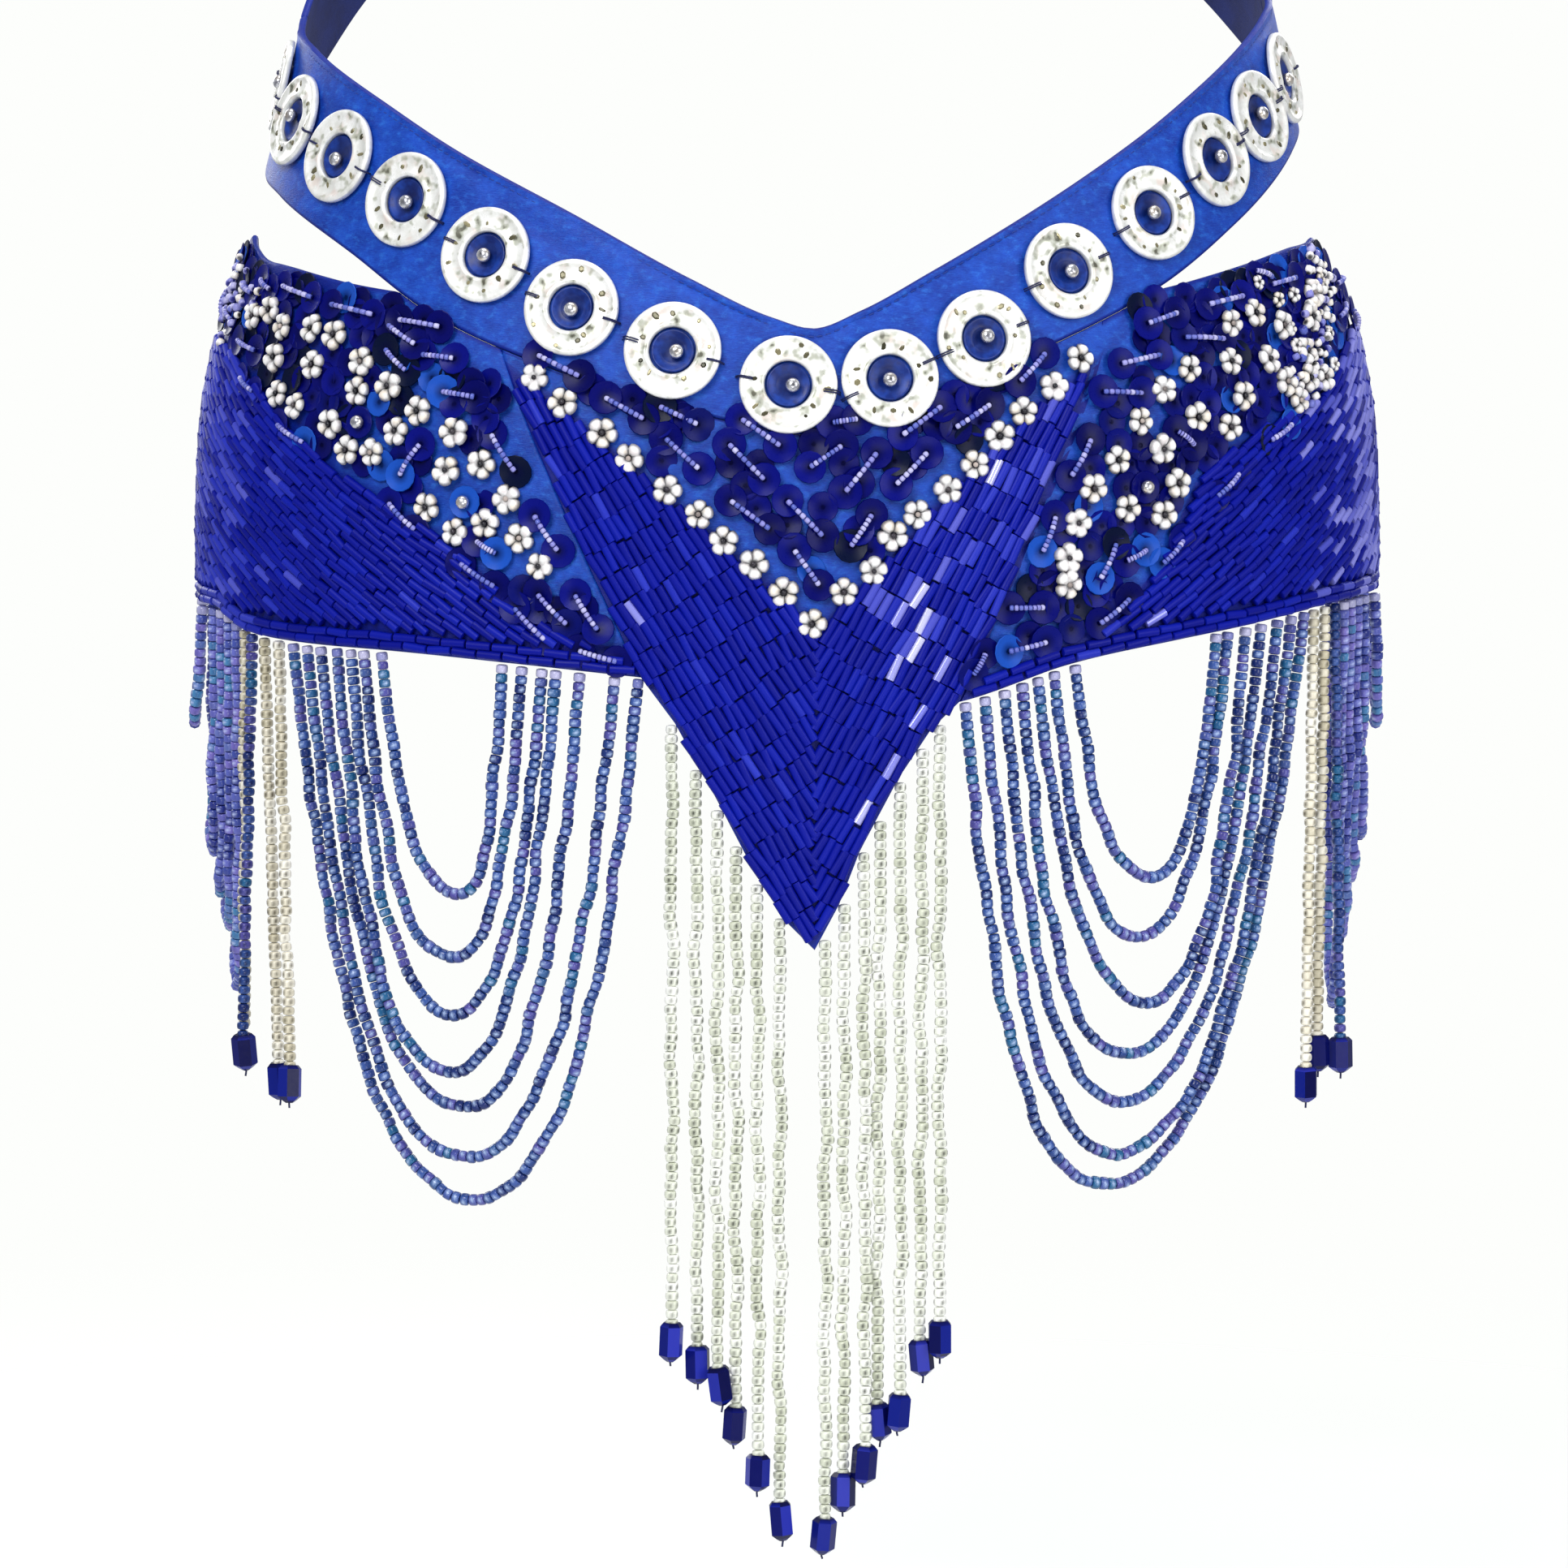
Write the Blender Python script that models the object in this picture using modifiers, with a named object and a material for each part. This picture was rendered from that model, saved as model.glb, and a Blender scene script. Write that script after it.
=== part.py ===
"""Belly dance hip belt: a V strap with a row of rings over a belt that is beaded in front.

Metres, +Z up, and the wearer faces -Y. The origin is the centre of the hips on the hip line.
A place on the cloth is (around, height, out), in millimetres in the tables: around runs along
the hip line from the centre front, with + on the wearer's left, height is above the hip line,
and out is how far the place stands off the cloth's outer face.
"""
import math

import bmesh
import bpy
import numpy as np
from mathutils import Matrix, Vector

MM = 0.001

# The figure that the belt is worn on.
DEPTH_RATIO = 0.70      # front to back, as a share of side to side
HIP_HALF = 180.0
SIDE = 242.2            # around, at the side seams
BACK = 484.4            # around, at the centre back
FIGURE = (              # height, half the width side to side
    (-60, 180.0),
    (0, 180.0),
    (20, 178.8),
    (40, 175.5),
    (69, 168.0),
    (100, 159.5),
    (138, 150.0),
    (170, 144.0),
    (200, 140.5),
    (230, 139.0),
)

# Cloth.
WALL = 2.0
SEAM = 0.3              # left open between two pieces
BEADING = 1.8           # how far the bugle beads raise the cloth's outer face
BEADING_EDGE = 2.5      # width of the slope at their border
LAP = 14.0              # each closing end runs this far past the centre back
LAP_RISE = 40.0         # length over which the upper end climbs over the lower one
BORDER_WAY = (0.08, 0.18)   # the side panels' bead border, from hem to upper edge: front, back
STRAP_COLUMNS = 49
STRAP_ROWS = 4
PANEL_COLUMNS = 29
SIDE_COLUMNS = 25

BAND = (                # around, lower edge, upper edge
    (-485, 182, 216),
    (-400, 180, 214),
    (-350, 172, 207),
    (-310, 157, 193),
    (-275, 126, 168),
    (-242, 100, 144),
    (-202, 88, 132),
    (-155, 71, 115.5),
    (-119, 53, 100),
    (-75, 36.5, 81.3),
    (-37, 25.5, 63),
    (-12, 20, 52),
    (0, 18.5, 49),
    (14, 21, 54),
    (36, 30.5, 65),
    (77, 46, 85.6),
    (114, 61.5, 104),
    (151, 80, 122),
    (200, 102, 142),
    (242, 116, 155),
    (275, 138, 176),
    (310, 161, 196),
    (350, 173, 208),
    (400, 180, 214),
    (485, 182, 216),
)
BELT = (                # around, hem, upper edge where the strap doesn't cover it
    (-485, -26, 42),
    (-400, -28, 43),
    (-330, -31, 46),
    (-285, -32.5, 53),
    (-264, -33, 60.5),
    (-250, -33.5, 67),
    (-242, -33.8, 70.2),
    (-232, -34.1, 73.6),
    (-224, -34.4, 76.2),
    (-221, -34.5, 77.2),
    (-219, -34.5, 75.8),
    (-210, -34.8, 72.3),
    (-204, -35.5, 70.5),
    (-197, -38, 69),
    (-190, -40.5, 68.2),
    (-183, -41.7, 67.3),
    (-167, -43, 64.7),
    (-152, -43.7, 62.2),
    (-133, -44.3, 59.7),
    (-85, -47.5, 55),
    (-50, -50.7, 50),
    (42, -58, 50),
    (75, -48, 55),
    (113, -41.5, 60.5),
    (136, -38.5, 65),
    (151, -36.5, 68),
    (176, -33.5, 72.9),
    (195, -32.2, 75.6),
    (198, -32, 76.4),
    (199.5, -31.9, 75.2),
    (204, -31.8, 71.8),
    (213, -31.4, 65),
    (225, -30.5, 60),
    (235, -25.5, 57.5),
    (242, -21, 56.2),
    (250, -20, 55),
    (264, -20, 53),
    (285, -20.3, 50),
    (330, -22, 46),
    (400, -25, 43),
    (485, -26, 42),
)
POINT = (               # around, lower edge of the front panel
    (-50, -50.7),
    (-40, -64),
    (-28.5, -85),
    (-17, -107),
    (-8, -121),
    (0, -129),
    (7, -116),
    (13, -100.5),
    (24, -80),
    (33.5, -66),
    (42, -58),
)
POINT_TOP = (-94, 90)   # around, where the front panel's slanted sides meet the strap
CHEVRON = (             # around, flower row: the upper border of the front panel's bugle beads
    (-93, 40),
    (-73, 27.5),
    (-42, 2.5),
    (-17, -18.5),
    (0, -35),
    (17, -20),
    (38, 3),
    (61, 25),
    (89, 42),
)
SIDE_BEADING = (        # around, upper border of the side panels' bugle beads
    (-242, 47),
    (-217, 45),
    (-203, 41),
    (-182, 30),
    (-153, 12),
    (-125, -2),
    (-104, -15),
    (-84, -32),
    (-50, -44),
    (42, -52),
    (75, -41),
    (95, -29),
    (106, -16),
    (117, 3),
    (144, 20),
    (178, 31),
    (192, 40),
    (206, 47),
    (242, 51),
)

# Rings of the strap.
RING_OUTER = 14.0
RING_HOLE = 6.5
RING_THICK = 2.2
RING_ROUNDING = 0.7
RING_CLEARANCE = 0.5
RING_STEPS = 18
RINGS = (               # around, height
    (-233, 122),
    (-201.5, 110.5),
    (-168.3, 99),
    (-134.6, 85.8),
    (-102.5, 69.6),
    (-72.7, 54.5),
    (-41.4, 42.3),
    (-7.7, 32.7),
    (21.8, 34.5),
    (50.5, 45.7),
    (79.9, 65),
    (113.6, 82),
    (145, 98),
    (174.5, 111.5),
    (206, 124),
)

# Fringe. Its strands hang from narrow strips behind the edge of the cloth.
STRAND = 3.0
STRAND_OUT = -1.0       # where the strands hang, against the cloth's outer face
NECK = 1.0              # a strand steps outwards from this far below the cloth's edge
NECK_FALL = 2.6         # and falls this far while it does
STRIP_THICK = 2.6
STRIP_HEIGHT = 6.0
STRIP_ABOVE = 1.0       # from the cloth's edge up to the strip's lower edge
STRIP_END = 0.9
DROP_WIDTH = 5.6
DROP_LENGTH = 11.5
DROP_SHOULDER = 0.8
DROP_POINT = 2.6
DROP_TIP = 1.4
LOOP_STEPS = 16         # an even number
SLACK_RANGE = 40.0      # the search for a loop's catenary constant: widest ratio, halvings
SLACK_HALVINGS = 60

FRONT_STRANDS = (       # around at the root, around at the end, height of the drop's top
    (-41.2, -41.2, -237.3),
    (-34.2, -34.2, -244.5),
    (-28.0, -28.0, -250),
    (-22.6, -22.9, -262.3),
    (-16.6, -16.3, -275.3),
    (-10.1, -10.1, -290.3),
    (3.0, 3.0, -294.1),
    (8.6, 8.6, -282),
    (14.2, 14.7, -273.3),
    (19.0, 18.6, -261.6),
    (24.8, 24.8, -258.3),
    (31.3, 31.3, -243.1),
    (36.4, 36.4, -237.2),
)
RIGHT_STRANDS = (
    (-187.1, -192.1, -162.5),
    (-180.2, -177.6, -169.8),
    (-172.9, -167.3, -169.2),
)
LEFT_STRANDS = (
    (170.0, 165.5, -171.7),
    (176.6, 177.9, -163.9),
    (183.2, 186.5, -165.2),
)
RIGHT_LOOPS = (         # around at both roots, share of the way to the lowest point, its height
    (-166.0, -50.9, 0.51, -205.3),
    (-159.9, -57.8, 0.50, -192.9),
    (-154.2, -68.1, 0.54, -177.9),
    (-147.7, -75.2, 0.495, -167.5),
    (-142.4, -79.4, 0.515, -150),
    (-137.6, -85.5, 0.54, -133.7),
    (-131.1, -91.6, 0.62, -115),
)
LEFT_LOOPS = (
    (44.0, 164.6, 0.415, -202.1),
    (49.9, 158.1, 0.435, -192.7),
    (55.8, 151.6, 0.435, -176.9),
    (61.2, 144.3, 0.44, -163.3),
    (66.0, 137.8, 0.545, -147.8),
    (71.1, 130.6, 0.49, -128.3),
    (77.7, 126.2, 0.54, -111.2),
)
RIGHT_SIDE_LOOPS = (
    (-275.0, -197.0, 0.5, -153.3),
    (-269.5, -202.5, 0.5, -135),
    (-264.0, -208.5, 0.5, -124.3),
    (-258.5, -215.0, 0.5, -111.5),
    (-253.0, -222.0, 0.5, -71.5),
)
LEFT_SIDE_LOOPS = (
    (189.5, 275.0, 0.5, -161),
    (195.5, 269.5, 0.5, -139.2),
    (202.0, 264.0, 0.5, -121.6),
    (209.0, 258.5, 0.5, -108.5),
    (217.0, 253.0, 0.5, -72.8),
)

# Each finish: base colour, roughness, metallic.
FINISHES = {
    "satin": ((0.012, 0.085, 0.50), 0.35, 0.0),
    "beaded_cloth": ((0.012, 0.010, 0.36), 0.25, 0.0),
    "silvered_ring": ((0.80, 0.78, 0.72), 0.30, 0.6),
    "blue_beads": ((0.055, 0.085, 0.46), 0.22, 0.0),
    "clear_beads": ((0.80, 0.80, 0.74), 0.15, 0.0),
}


def through(rows, column, at):
    """Smooth curve through a table: cubic pieces whose slopes come from the neighbouring rows."""
    table = np.array(rows, dtype=float)
    x, y = table[:, 0], table[:, column]
    slope = np.gradient(y, x)
    k = np.clip(np.searchsorted(x, at) - 1, 0, len(x) - 2)
    span = x[k + 1] - x[k]
    t = np.clip((at - x[k]) / span, 0, 1)
    ends = (1 + 2 * t) * (1 - t) ** 2 * y[k] + t * t * (3 - 2 * t) * y[k + 1]
    return ends + t * (1 - t) * span * ((1 - t) * slope[k] - t * slope[k + 1])


def straight_through(rows, column, at):
    """Straight lines from row to row of a table, which keeps its corners sharp."""
    table = np.array(rows, dtype=float)
    return np.interp(at, table[:, 0], table[:, column])


TURNS = np.linspace(0, 1.2 * math.pi, 1200)
TURN_SPEED = HIP_HALF * np.hypot(np.cos(TURNS), DEPTH_RATIO * np.sin(TURNS))
TURN_ARC = np.concatenate([[0], np.cumsum((TURN_SPEED[1:] + TURN_SPEED[:-1]) / 2 * np.diff(TURNS))])


def turn_at(around):
    """The ellipse's angle from the centre front whose arc on the hip line is this long."""
    return np.sign(around) * np.interp(np.abs(around), TURN_ARC, TURNS)


def skin(around, height, out=0.0):
    """Points in metres: an ellipse at each height, moved out along the figure's normal."""
    around, height, out = np.broadcast_arrays(around, height, out)
    turn = turn_at(around)
    half = through(FIGURE, 1, height)
    flare = (through(FIGURE, 1, height + 1) - through(FIGURE, 1, height - 1)) / 2
    normal = np.stack([np.sin(turn), -np.cos(turn) / DEPTH_RATIO, -flare], axis=-1)
    normal /= np.linalg.norm(normal, axis=-1, keepdims=True)
    surface = np.stack([half * np.sin(turn), -half * DEPTH_RATIO * np.cos(turn), height * 1.0], axis=-1)
    return (surface + normal * out[..., None]) * MM


def finish(name):
    colour, roughness, metallic = FINISHES[name]
    material = bpy.data.materials.get(name) or bpy.data.materials.new(name)
    material.use_nodes = True
    shader = material.node_tree.nodes["Principled BSDF"]
    shader.inputs["Base Color"].default_value = (*colour, 1.0)
    shader.inputs["Roughness"].default_value = roughness
    shader.inputs["Metallic"].default_value = metallic
    return material


def new_object(name, points, faces, finish_name, collection):
    """A named object from points and faces, with its faces turned outwards."""
    mesh = bpy.data.meshes.new(name)
    mesh.from_pydata([tuple(point) for point in points], [], faces)
    shape = bmesh.new()
    shape.from_mesh(mesh)
    bmesh.ops.recalc_face_normals(shape, faces=shape.faces)
    shape.to_mesh(mesh)
    shape.free()
    mesh.materials.append(finish(finish_name))
    mesh.shade_smooth()
    mesh.set_sharp_from_angle(angle=math.radians(40))
    thing = bpy.data.objects.new(name, mesh)
    collection.objects.link(thing)
    return thing


def grid_faces(rows, columns, start=0):
    """Four-sided faces of a grid of points that is stored row after row."""
    corner = start + np.arange(rows - 1)[:, None] * columns + np.arange(columns - 1)
    corners = np.stack([corner, corner + 1, corner + columns + 1, corner + columns], axis=-1)
    return corners.reshape(-1, 4).tolist()


# ---------------------------------------------------------------- cloth

def plain_wall(name, around, lower, upper, rows, collection, out=0.0):
    """A plain strip of cloth between two edges: an open surface that Solidify thickens inwards."""
    up = np.linspace(0, 1, rows)[:, None]
    surface = skin(around[None, :], lower + (upper - lower) * up, out)
    faces = grid_faces(rows, len(around))
    wall = new_object(name, surface.reshape(-1, 3), faces, "satin", collection)
    normals = np.array([polygon.normal[:] for polygon in wall.data.polygons])
    centres = np.array([polygon.center[:] for polygon in wall.data.polygons])
    outward = np.sum(normals[:, :2] * centres[:, :2]) > 0
    thicken = wall.modifiers.new("thickness", "SOLIDIFY")
    thicken.thickness = WALL * MM
    thicken.offset = -1 if outward else 1
    thicken.use_even_offset = False
    return wall


def beaded_wall(name, rails, steps, collection):
    """A panel lofted over three rails, with the strip between the first two raised by its beads.

    Each rail is (around, height) along the panel, whose ends are straight. The inner face is plain.
    """
    (low_a, low_h), (edge_a, edge_h), (top_a, top_h) = rails
    for end in (0, -1):
        share = (edge_h[end] - low_h[end]) / (top_h[end] - low_h[end])
        edge_a[end] = low_a[end] + (top_a[end] - low_a[end]) * share
    slope = np.clip(BEADING_EDGE / np.maximum(top_h - edge_h, BEADING_EDGE * 2), 0, 0.5)
    layers = []
    for share in np.linspace(0, 1, steps[0] + 1):
        layers.append((low_a + (edge_a - low_a) * share, low_h + (edge_h - low_h) * share, BEADING))
    for step in np.linspace(0, 1, steps[1] + 1):
        share = slope + (1 - slope) * step
        layers.append((edge_a + (top_a - edge_a) * share, edge_h + (top_h - edge_h) * share, 0.0))
    outer = np.concatenate([skin(a, h, out) for a, h, out in layers])
    inner = np.concatenate([skin(a, h, -WALL) for a, h, out in layers])
    rows, columns = len(layers), len(low_a)
    count = rows * columns
    faces = grid_faces(rows, columns) + grid_faces(rows, columns, count)
    index = np.arange(count).reshape(rows, columns)
    border = [*index[0, :], *index[1:, -1], *index[-1, -2::-1], *index[-2:0:-1, 0]]
    for here, there in zip(border, border[1:] + border[:1]):
        faces.append([int(here), int(there), int(there + count), int(here + count)])
    return new_object(name, np.concatenate([outer, inner]), faces, "beaded_cloth", collection)


def make_strap(collection):
    """The V strap: one front piece, and two back pieces whose ends lap at the centre back."""
    half_seam = SEAM / 2
    front = np.linspace(-SIDE + half_seam, SIDE - half_seam, STRAP_COLUMNS)
    front[STRAP_COLUMNS // 2] = 0.0
    lower, upper = through(BAND, 1, front), through(BAND, 2, front)
    plain_wall("strap_front", front, lower, upper, STRAP_ROWS, collection)
    make_back("strap_back", BAND, 24, 3, collection)


def make_back(name, rows, steps, layers, collection):
    """Left and right back pieces from the side seams. The right one's end climbs over the left one's."""
    span = np.linspace(SIDE + SEAM / 2, BACK + LAP, steps + 1)
    mirrored = 2 * BACK - span
    past = np.clip((span - (BACK - LAP - LAP_RISE)) / LAP_RISE, 0, 1)
    climb = (WALL + SEAM) * past * past * (3 - 2 * past)
    for side, rise in (("left", 0.0), ("right", climb)):
        sign = 1 if side == "left" else -1
        table_at = np.where(span > BACK, -sign * mirrored, sign * span)
        lower, upper = through(rows, 1, table_at), through(rows, 2, table_at)
        plain_wall(f"{name}_{side}", sign * span, lower, upper, layers, collection, rise)


def between(start, end, share):
    """From start to end, half a seam short of each."""
    half_seam = SEAM / 2 * np.sign(end - start)
    return (start + half_seam) * (1 - share) + (end - half_seam) * share


def make_front_panel(collection):
    """The pointed front panel, with one column of its points at the tip."""
    share = np.linspace(0, 1, PANEL_COLUMNS)
    tip = -POINT[0][0] / (POINT[-1][0] - POINT[0][0])
    share[np.abs(share - tip).argmin()] = tip
    low = between(POINT[0][0], POINT[-1][0], share)
    edge = between(CHEVRON[0][0], CHEVRON[-1][0], share)
    top = between(POINT_TOP[0], POINT_TOP[1], share)
    rails = (
        (low, straight_through(POINT, 1, low)),
        (edge, straight_through(CHEVRON, 1, edge)),
        (top, through(BAND, 1, top) - SEAM),
    )
    beaded_wall("front_panel", rails, (6, 4), collection)


def make_side_panel(name, low_start, top_start, side, collection):
    """One side panel, from the front panel's slanted side to the side seam."""
    share = np.linspace(0, 1, SIDE_COLUMNS)
    low = between(low_start, side, share)
    top = between(top_start, side, share)
    front, back = BORDER_WAY
    edge = low + (top - low) * (front + (back - front) * share)
    rails = (
        (low, through(BELT, 1, low)),
        (edge, through(SIDE_BEADING, 1, edge)),
        (top, np.minimum(through(BELT, 2, top), through(BAND, 1, top) - SEAM)),
    )
    beaded_wall(name, rails, (4, 4), collection)


# ---------------------------------------------------------------- rings

def make_rings(collection):
    """Flat rings in a row on the strap, each a turned profile standing square on the cloth."""
    profile = (
        (RING_OUTER - RING_ROUNDING, RING_THICK),
        (RING_OUTER, RING_THICK - RING_ROUNDING),
        (RING_OUTER, 0.0),
        (RING_HOLE, 0.0),
        (RING_HOLE + RING_ROUNDING, RING_THICK),
    )
    mesh = bpy.data.meshes.new("ring")
    points = [(radius * MM, 0.0, height * MM) for radius, height in profile]
    mesh.from_pydata(points, [(i, (i + 1) % len(points)) for i in range(len(points))], [])
    mesh.materials.append(finish("silvered_ring"))
    for number, (around, height) in enumerate(RINGS, 1):
        ring = bpy.data.objects.new(f"ring_{number:02d}", mesh)
        collection.objects.link(ring)
        turned = ring.modifiers.new("turned", "SCREW")
        turned.steps = turned.render_steps = RING_STEPS
        turned.use_merge_vertices = True
        turned.merge_threshold = 0.00005
        place = Vector(skin(around, height))
        along = Vector(skin(around + 1, height)) - place
        upward = Vector(skin(around, height + 1)) - place
        outward = along.cross(upward).normalized()
        along.normalize()
        ring.location = place + outward * RING_CLEARANCE * MM
        axes = Matrix((along, outward.cross(along), outward)).transposed()
        ring.rotation_euler = axes.to_euler()


# ---------------------------------------------------------------- fringe

def hem_height(around):
    return through(BELT, 1, around)


def point_height(around):
    return straight_through(POINT, 1, around)


def strip_section(around, edge):
    """Four corners of the strip that the strands are sewn to: outer low and high, inner high and low."""
    face = -(WALL + SEAM)
    low = edge(around) + STRIP_ABOVE
    high = low + STRIP_HEIGHT
    corners = ((face, low), (face, high), (face - STRIP_THICK, high), (face - STRIP_THICK, low))
    return [skin(around, height, out) for out, height in corners]


def square(centre, across, inward, width):
    """Four corners of a strand's section, in the order of a root's corners."""
    across, inward = across * width / 2, inward * width / 2
    return [
        centre - across - inward,
        centre + across - inward,
        centre + across + inward,
        centre - across + inward,
    ]


def directions(around, height):
    """Level directions at a place: along the cloth, and inwards."""
    across = skin(around + 1, height) - skin(around - 1, height)
    across /= np.linalg.norm(across)
    return across, np.array([-across[1], across[0], 0.0])


def neck(root, edge):
    """A strand's first two sections, which bring it from under its strip out to below the cloth."""
    high = min(edge(root - STRAND / 2), edge(root + STRAND / 2)) - NECK
    places = ((high, -(WALL + SEAM + STRIP_THICK / 2)), (high - NECK_FALL, STRAND_OUT))
    return [square(skin(root, height, out), *directions(root, height), STRAND * MM) for height, out in places]


def straight_strand(end, drop_top):
    """Sections of a strand's drop bead, from where the straight beads end down to its tip."""
    middle = skin(end, drop_top, STRAND_OUT)
    across, inward = directions(end, drop_top)
    down = np.array([0.0, 0.0, -MM])
    strand, drop = STRAND * MM, DROP_WIDTH * MM
    levels = (
        (0.0, strand),
        (DROP_SHOULDER, drop),
        (DROP_LENGTH - DROP_POINT, drop),
        (DROP_LENGTH, DROP_TIP * MM),
    )
    return [square(middle + down * depth, across, inward, width) for depth, width in levels]


def slack(half_width, drop):
    """Catenary constant c with c (cosh(w / c) - 1) = drop, by halving."""
    low, high = half_width / SLACK_RANGE, half_width * SLACK_RANGE
    for _ in range(SLACK_HALVINGS):
        c = math.sqrt(low * high)
        if c * (math.cosh(half_width / c) - 1) > drop:
            low = c
        else:
            high = c
    return c


def hanging_loop(start, end, lowest, bottom):
    """Sections of a loop: a chain in the upright plane through its roots, with its own lowest point."""
    chord = end - start
    chord[2] = 0.0
    width = np.linalg.norm(chord)
    chord /= width
    inward = np.array([-chord[1], chord[0], 0.0])
    inward *= -np.sign(inward[0] * start[0] + inward[1] * start[1])
    left, right = width * lowest, width * (1 - lowest)
    sections = []
    steps = LOOP_STEPS // 2
    arms = (
        (start, left, -1, np.linspace(1, 0, steps + 1)[1:]),
        (end, right, 1, np.linspace(0, 1, steps + 1)[1:-1]),
    )
    for root, reach, sign, shares in arms:
        c = slack(reach, root[2] - bottom)
        for share in shares:
            turn = reach / c * share
            centre = start + chord * (left + sign * c * turn)
            centre[2] = bottom + c * (math.cosh(turn) - 1)
            tangent = chord + np.array([0.0, 0.0, sign * math.sinh(turn)])
            tangent /= np.linalg.norm(tangent)
            across = np.array([0.0, 0.0, 1.0]) * np.dot(tangent, chord) - chord * tangent[2]
            sections.append(square(centre, across, inward, STRAND * MM))
    return sections


def make_fringe(name, strands, loops, edge, finish_name, collection):
    """A strip with strands: each root is a square of the strip's underside, drawn out into a strand."""
    roots = sorted([row[0] for row in strands] + [at for row in loops for at in row[:2]])
    stations = [roots[0] - STRAND / 2 - STRIP_END]
    for at in roots:
        stations += [at - STRAND / 2, at + STRAND / 2]
    stations.append(roots[-1] + STRAND / 2 + STRIP_END)
    points, faces = [], []
    for at in stations:
        points += strip_section(at, edge)
    for k in range(len(stations) - 1):
        a, b = 4 * k, 4 * k + 4
        for side in range(3):
            faces.append([a + side, a + side + 1, b + side + 1, b + side])
        if k % 2 == 0:
            faces.append([a + 3, a, b, b + 3])
    faces += [[0, 1, 2, 3], [len(points) - 4 + side for side in range(4)]]
    under = {}
    for k, at in enumerate(roots):
        corner = 8 * k + 4
        under[at] = [corner, corner + 4, corner + 7, corner + 3]

    def draw_out(ring, sections):
        for section in sections:
            start = len(points)
            points.extend(section)
            following = [start + side for side in range(4)]
            for side in range(4):
                after = (side + 1) % 4
                faces.append([ring[side], ring[after], following[after], following[side]])
            ring = following
        return ring

    for root, end, drop_top in strands:
        faces.append(draw_out(under[root], neck(root, edge) + straight_strand(end, drop_top)))
    for first, second, lowest, bottom in loops:
        near, far = neck(first, edge), neck(second, edge)
        start, end = np.mean(near[1], axis=0), np.mean(far[1], axis=0)
        rising = [[section[i] for i in (1, 0, 3, 2)] for section in reversed(far)]
        sections = near + hanging_loop(start, end, lowest, bottom * MM) + rising
        ring = draw_out(under[first], sections)
        last = under[second]
        landing = [last[1], last[0], last[3], last[2]]
        for side in range(4):
            after = (side + 1) % 4
            faces.append([ring[side], ring[after], landing[after], landing[side]])
    return new_object(name, points, faces, finish_name, collection)


def main():
    for thing in list(bpy.data.objects):
        bpy.data.objects.remove(thing, do_unlink=True)
    collection = bpy.data.collections.new("hip_belt")
    bpy.context.scene.collection.children.link(collection)
    make_strap(collection)
    make_front_panel(collection)
    make_side_panel("side_panel_right", POINT[0][0], POINT_TOP[0], -SIDE, collection)
    make_side_panel("side_panel_left", POINT[-1][0], POINT_TOP[1], SIDE, collection)
    make_back("belt_back", BELT, 28, 4, collection)
    make_rings(collection)
    make_fringe("fringe_front", FRONT_STRANDS, (), point_height, "clear_beads", collection)
    make_fringe("fringe_loops_right", (), RIGHT_LOOPS, hem_height, "blue_beads", collection)
    make_fringe("fringe_loops_left", (), LEFT_LOOPS, hem_height, "blue_beads", collection)
    make_fringe("fringe_drops_right", RIGHT_STRANDS, (), hem_height, "clear_beads", collection)
    make_fringe("fringe_drops_left", LEFT_STRANDS, (), hem_height, "clear_beads", collection)
    make_fringe("fringe_side_right", (), RIGHT_SIDE_LOOPS, hem_height, "blue_beads", collection)
    make_fringe("fringe_side_left", (), LEFT_SIDE_LOOPS, hem_height, "blue_beads", collection)


main()
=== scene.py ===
"""Looks of a belly dance hip belt: its satin, rings, bead work and fringe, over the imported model.

Metres, +Z up, and the wearer faces -Y. A place on the cloth is (around, height, out) in
millimetres: around runs along the hip line from the centre front, with + on the wearer's left,
height is above the hip line, and out is how far the place stands off the cloth's outer face.
"""
import math
from functools import partial

import bpy
import numpy as np
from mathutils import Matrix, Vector


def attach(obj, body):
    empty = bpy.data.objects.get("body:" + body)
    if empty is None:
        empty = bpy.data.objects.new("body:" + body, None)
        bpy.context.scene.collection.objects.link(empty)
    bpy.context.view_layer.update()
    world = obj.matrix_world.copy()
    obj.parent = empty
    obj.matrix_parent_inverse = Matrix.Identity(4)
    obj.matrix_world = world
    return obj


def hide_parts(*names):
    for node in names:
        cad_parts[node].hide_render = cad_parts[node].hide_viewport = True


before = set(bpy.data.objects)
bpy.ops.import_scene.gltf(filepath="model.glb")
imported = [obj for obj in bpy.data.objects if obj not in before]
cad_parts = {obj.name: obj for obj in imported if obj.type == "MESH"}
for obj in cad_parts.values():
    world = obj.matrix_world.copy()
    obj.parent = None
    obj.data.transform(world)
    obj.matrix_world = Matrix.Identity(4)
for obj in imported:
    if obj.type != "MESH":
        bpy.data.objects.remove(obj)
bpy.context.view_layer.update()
chance = np.random.default_rng(6)
MM = 0.001

# The figure, and the edges of the cloth.
DEPTH_RATIO = 0.70      # front to back, as a share of side to side
HIP_HALF = 180.0
SIDE = 242.2            # around, at the side seams
BACK = 484.4            # around, at the centre back
WALL = 2.0
SEAM = 0.04             # left open between two pieces of cloth
LAP_GAP = 0.3           # left open between the lapped ends
LAP = 14.0              # each closing end runs this far past the centre back
LAP_RISE = 40.0         # length over which the upper end climbs over the lower one

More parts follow.
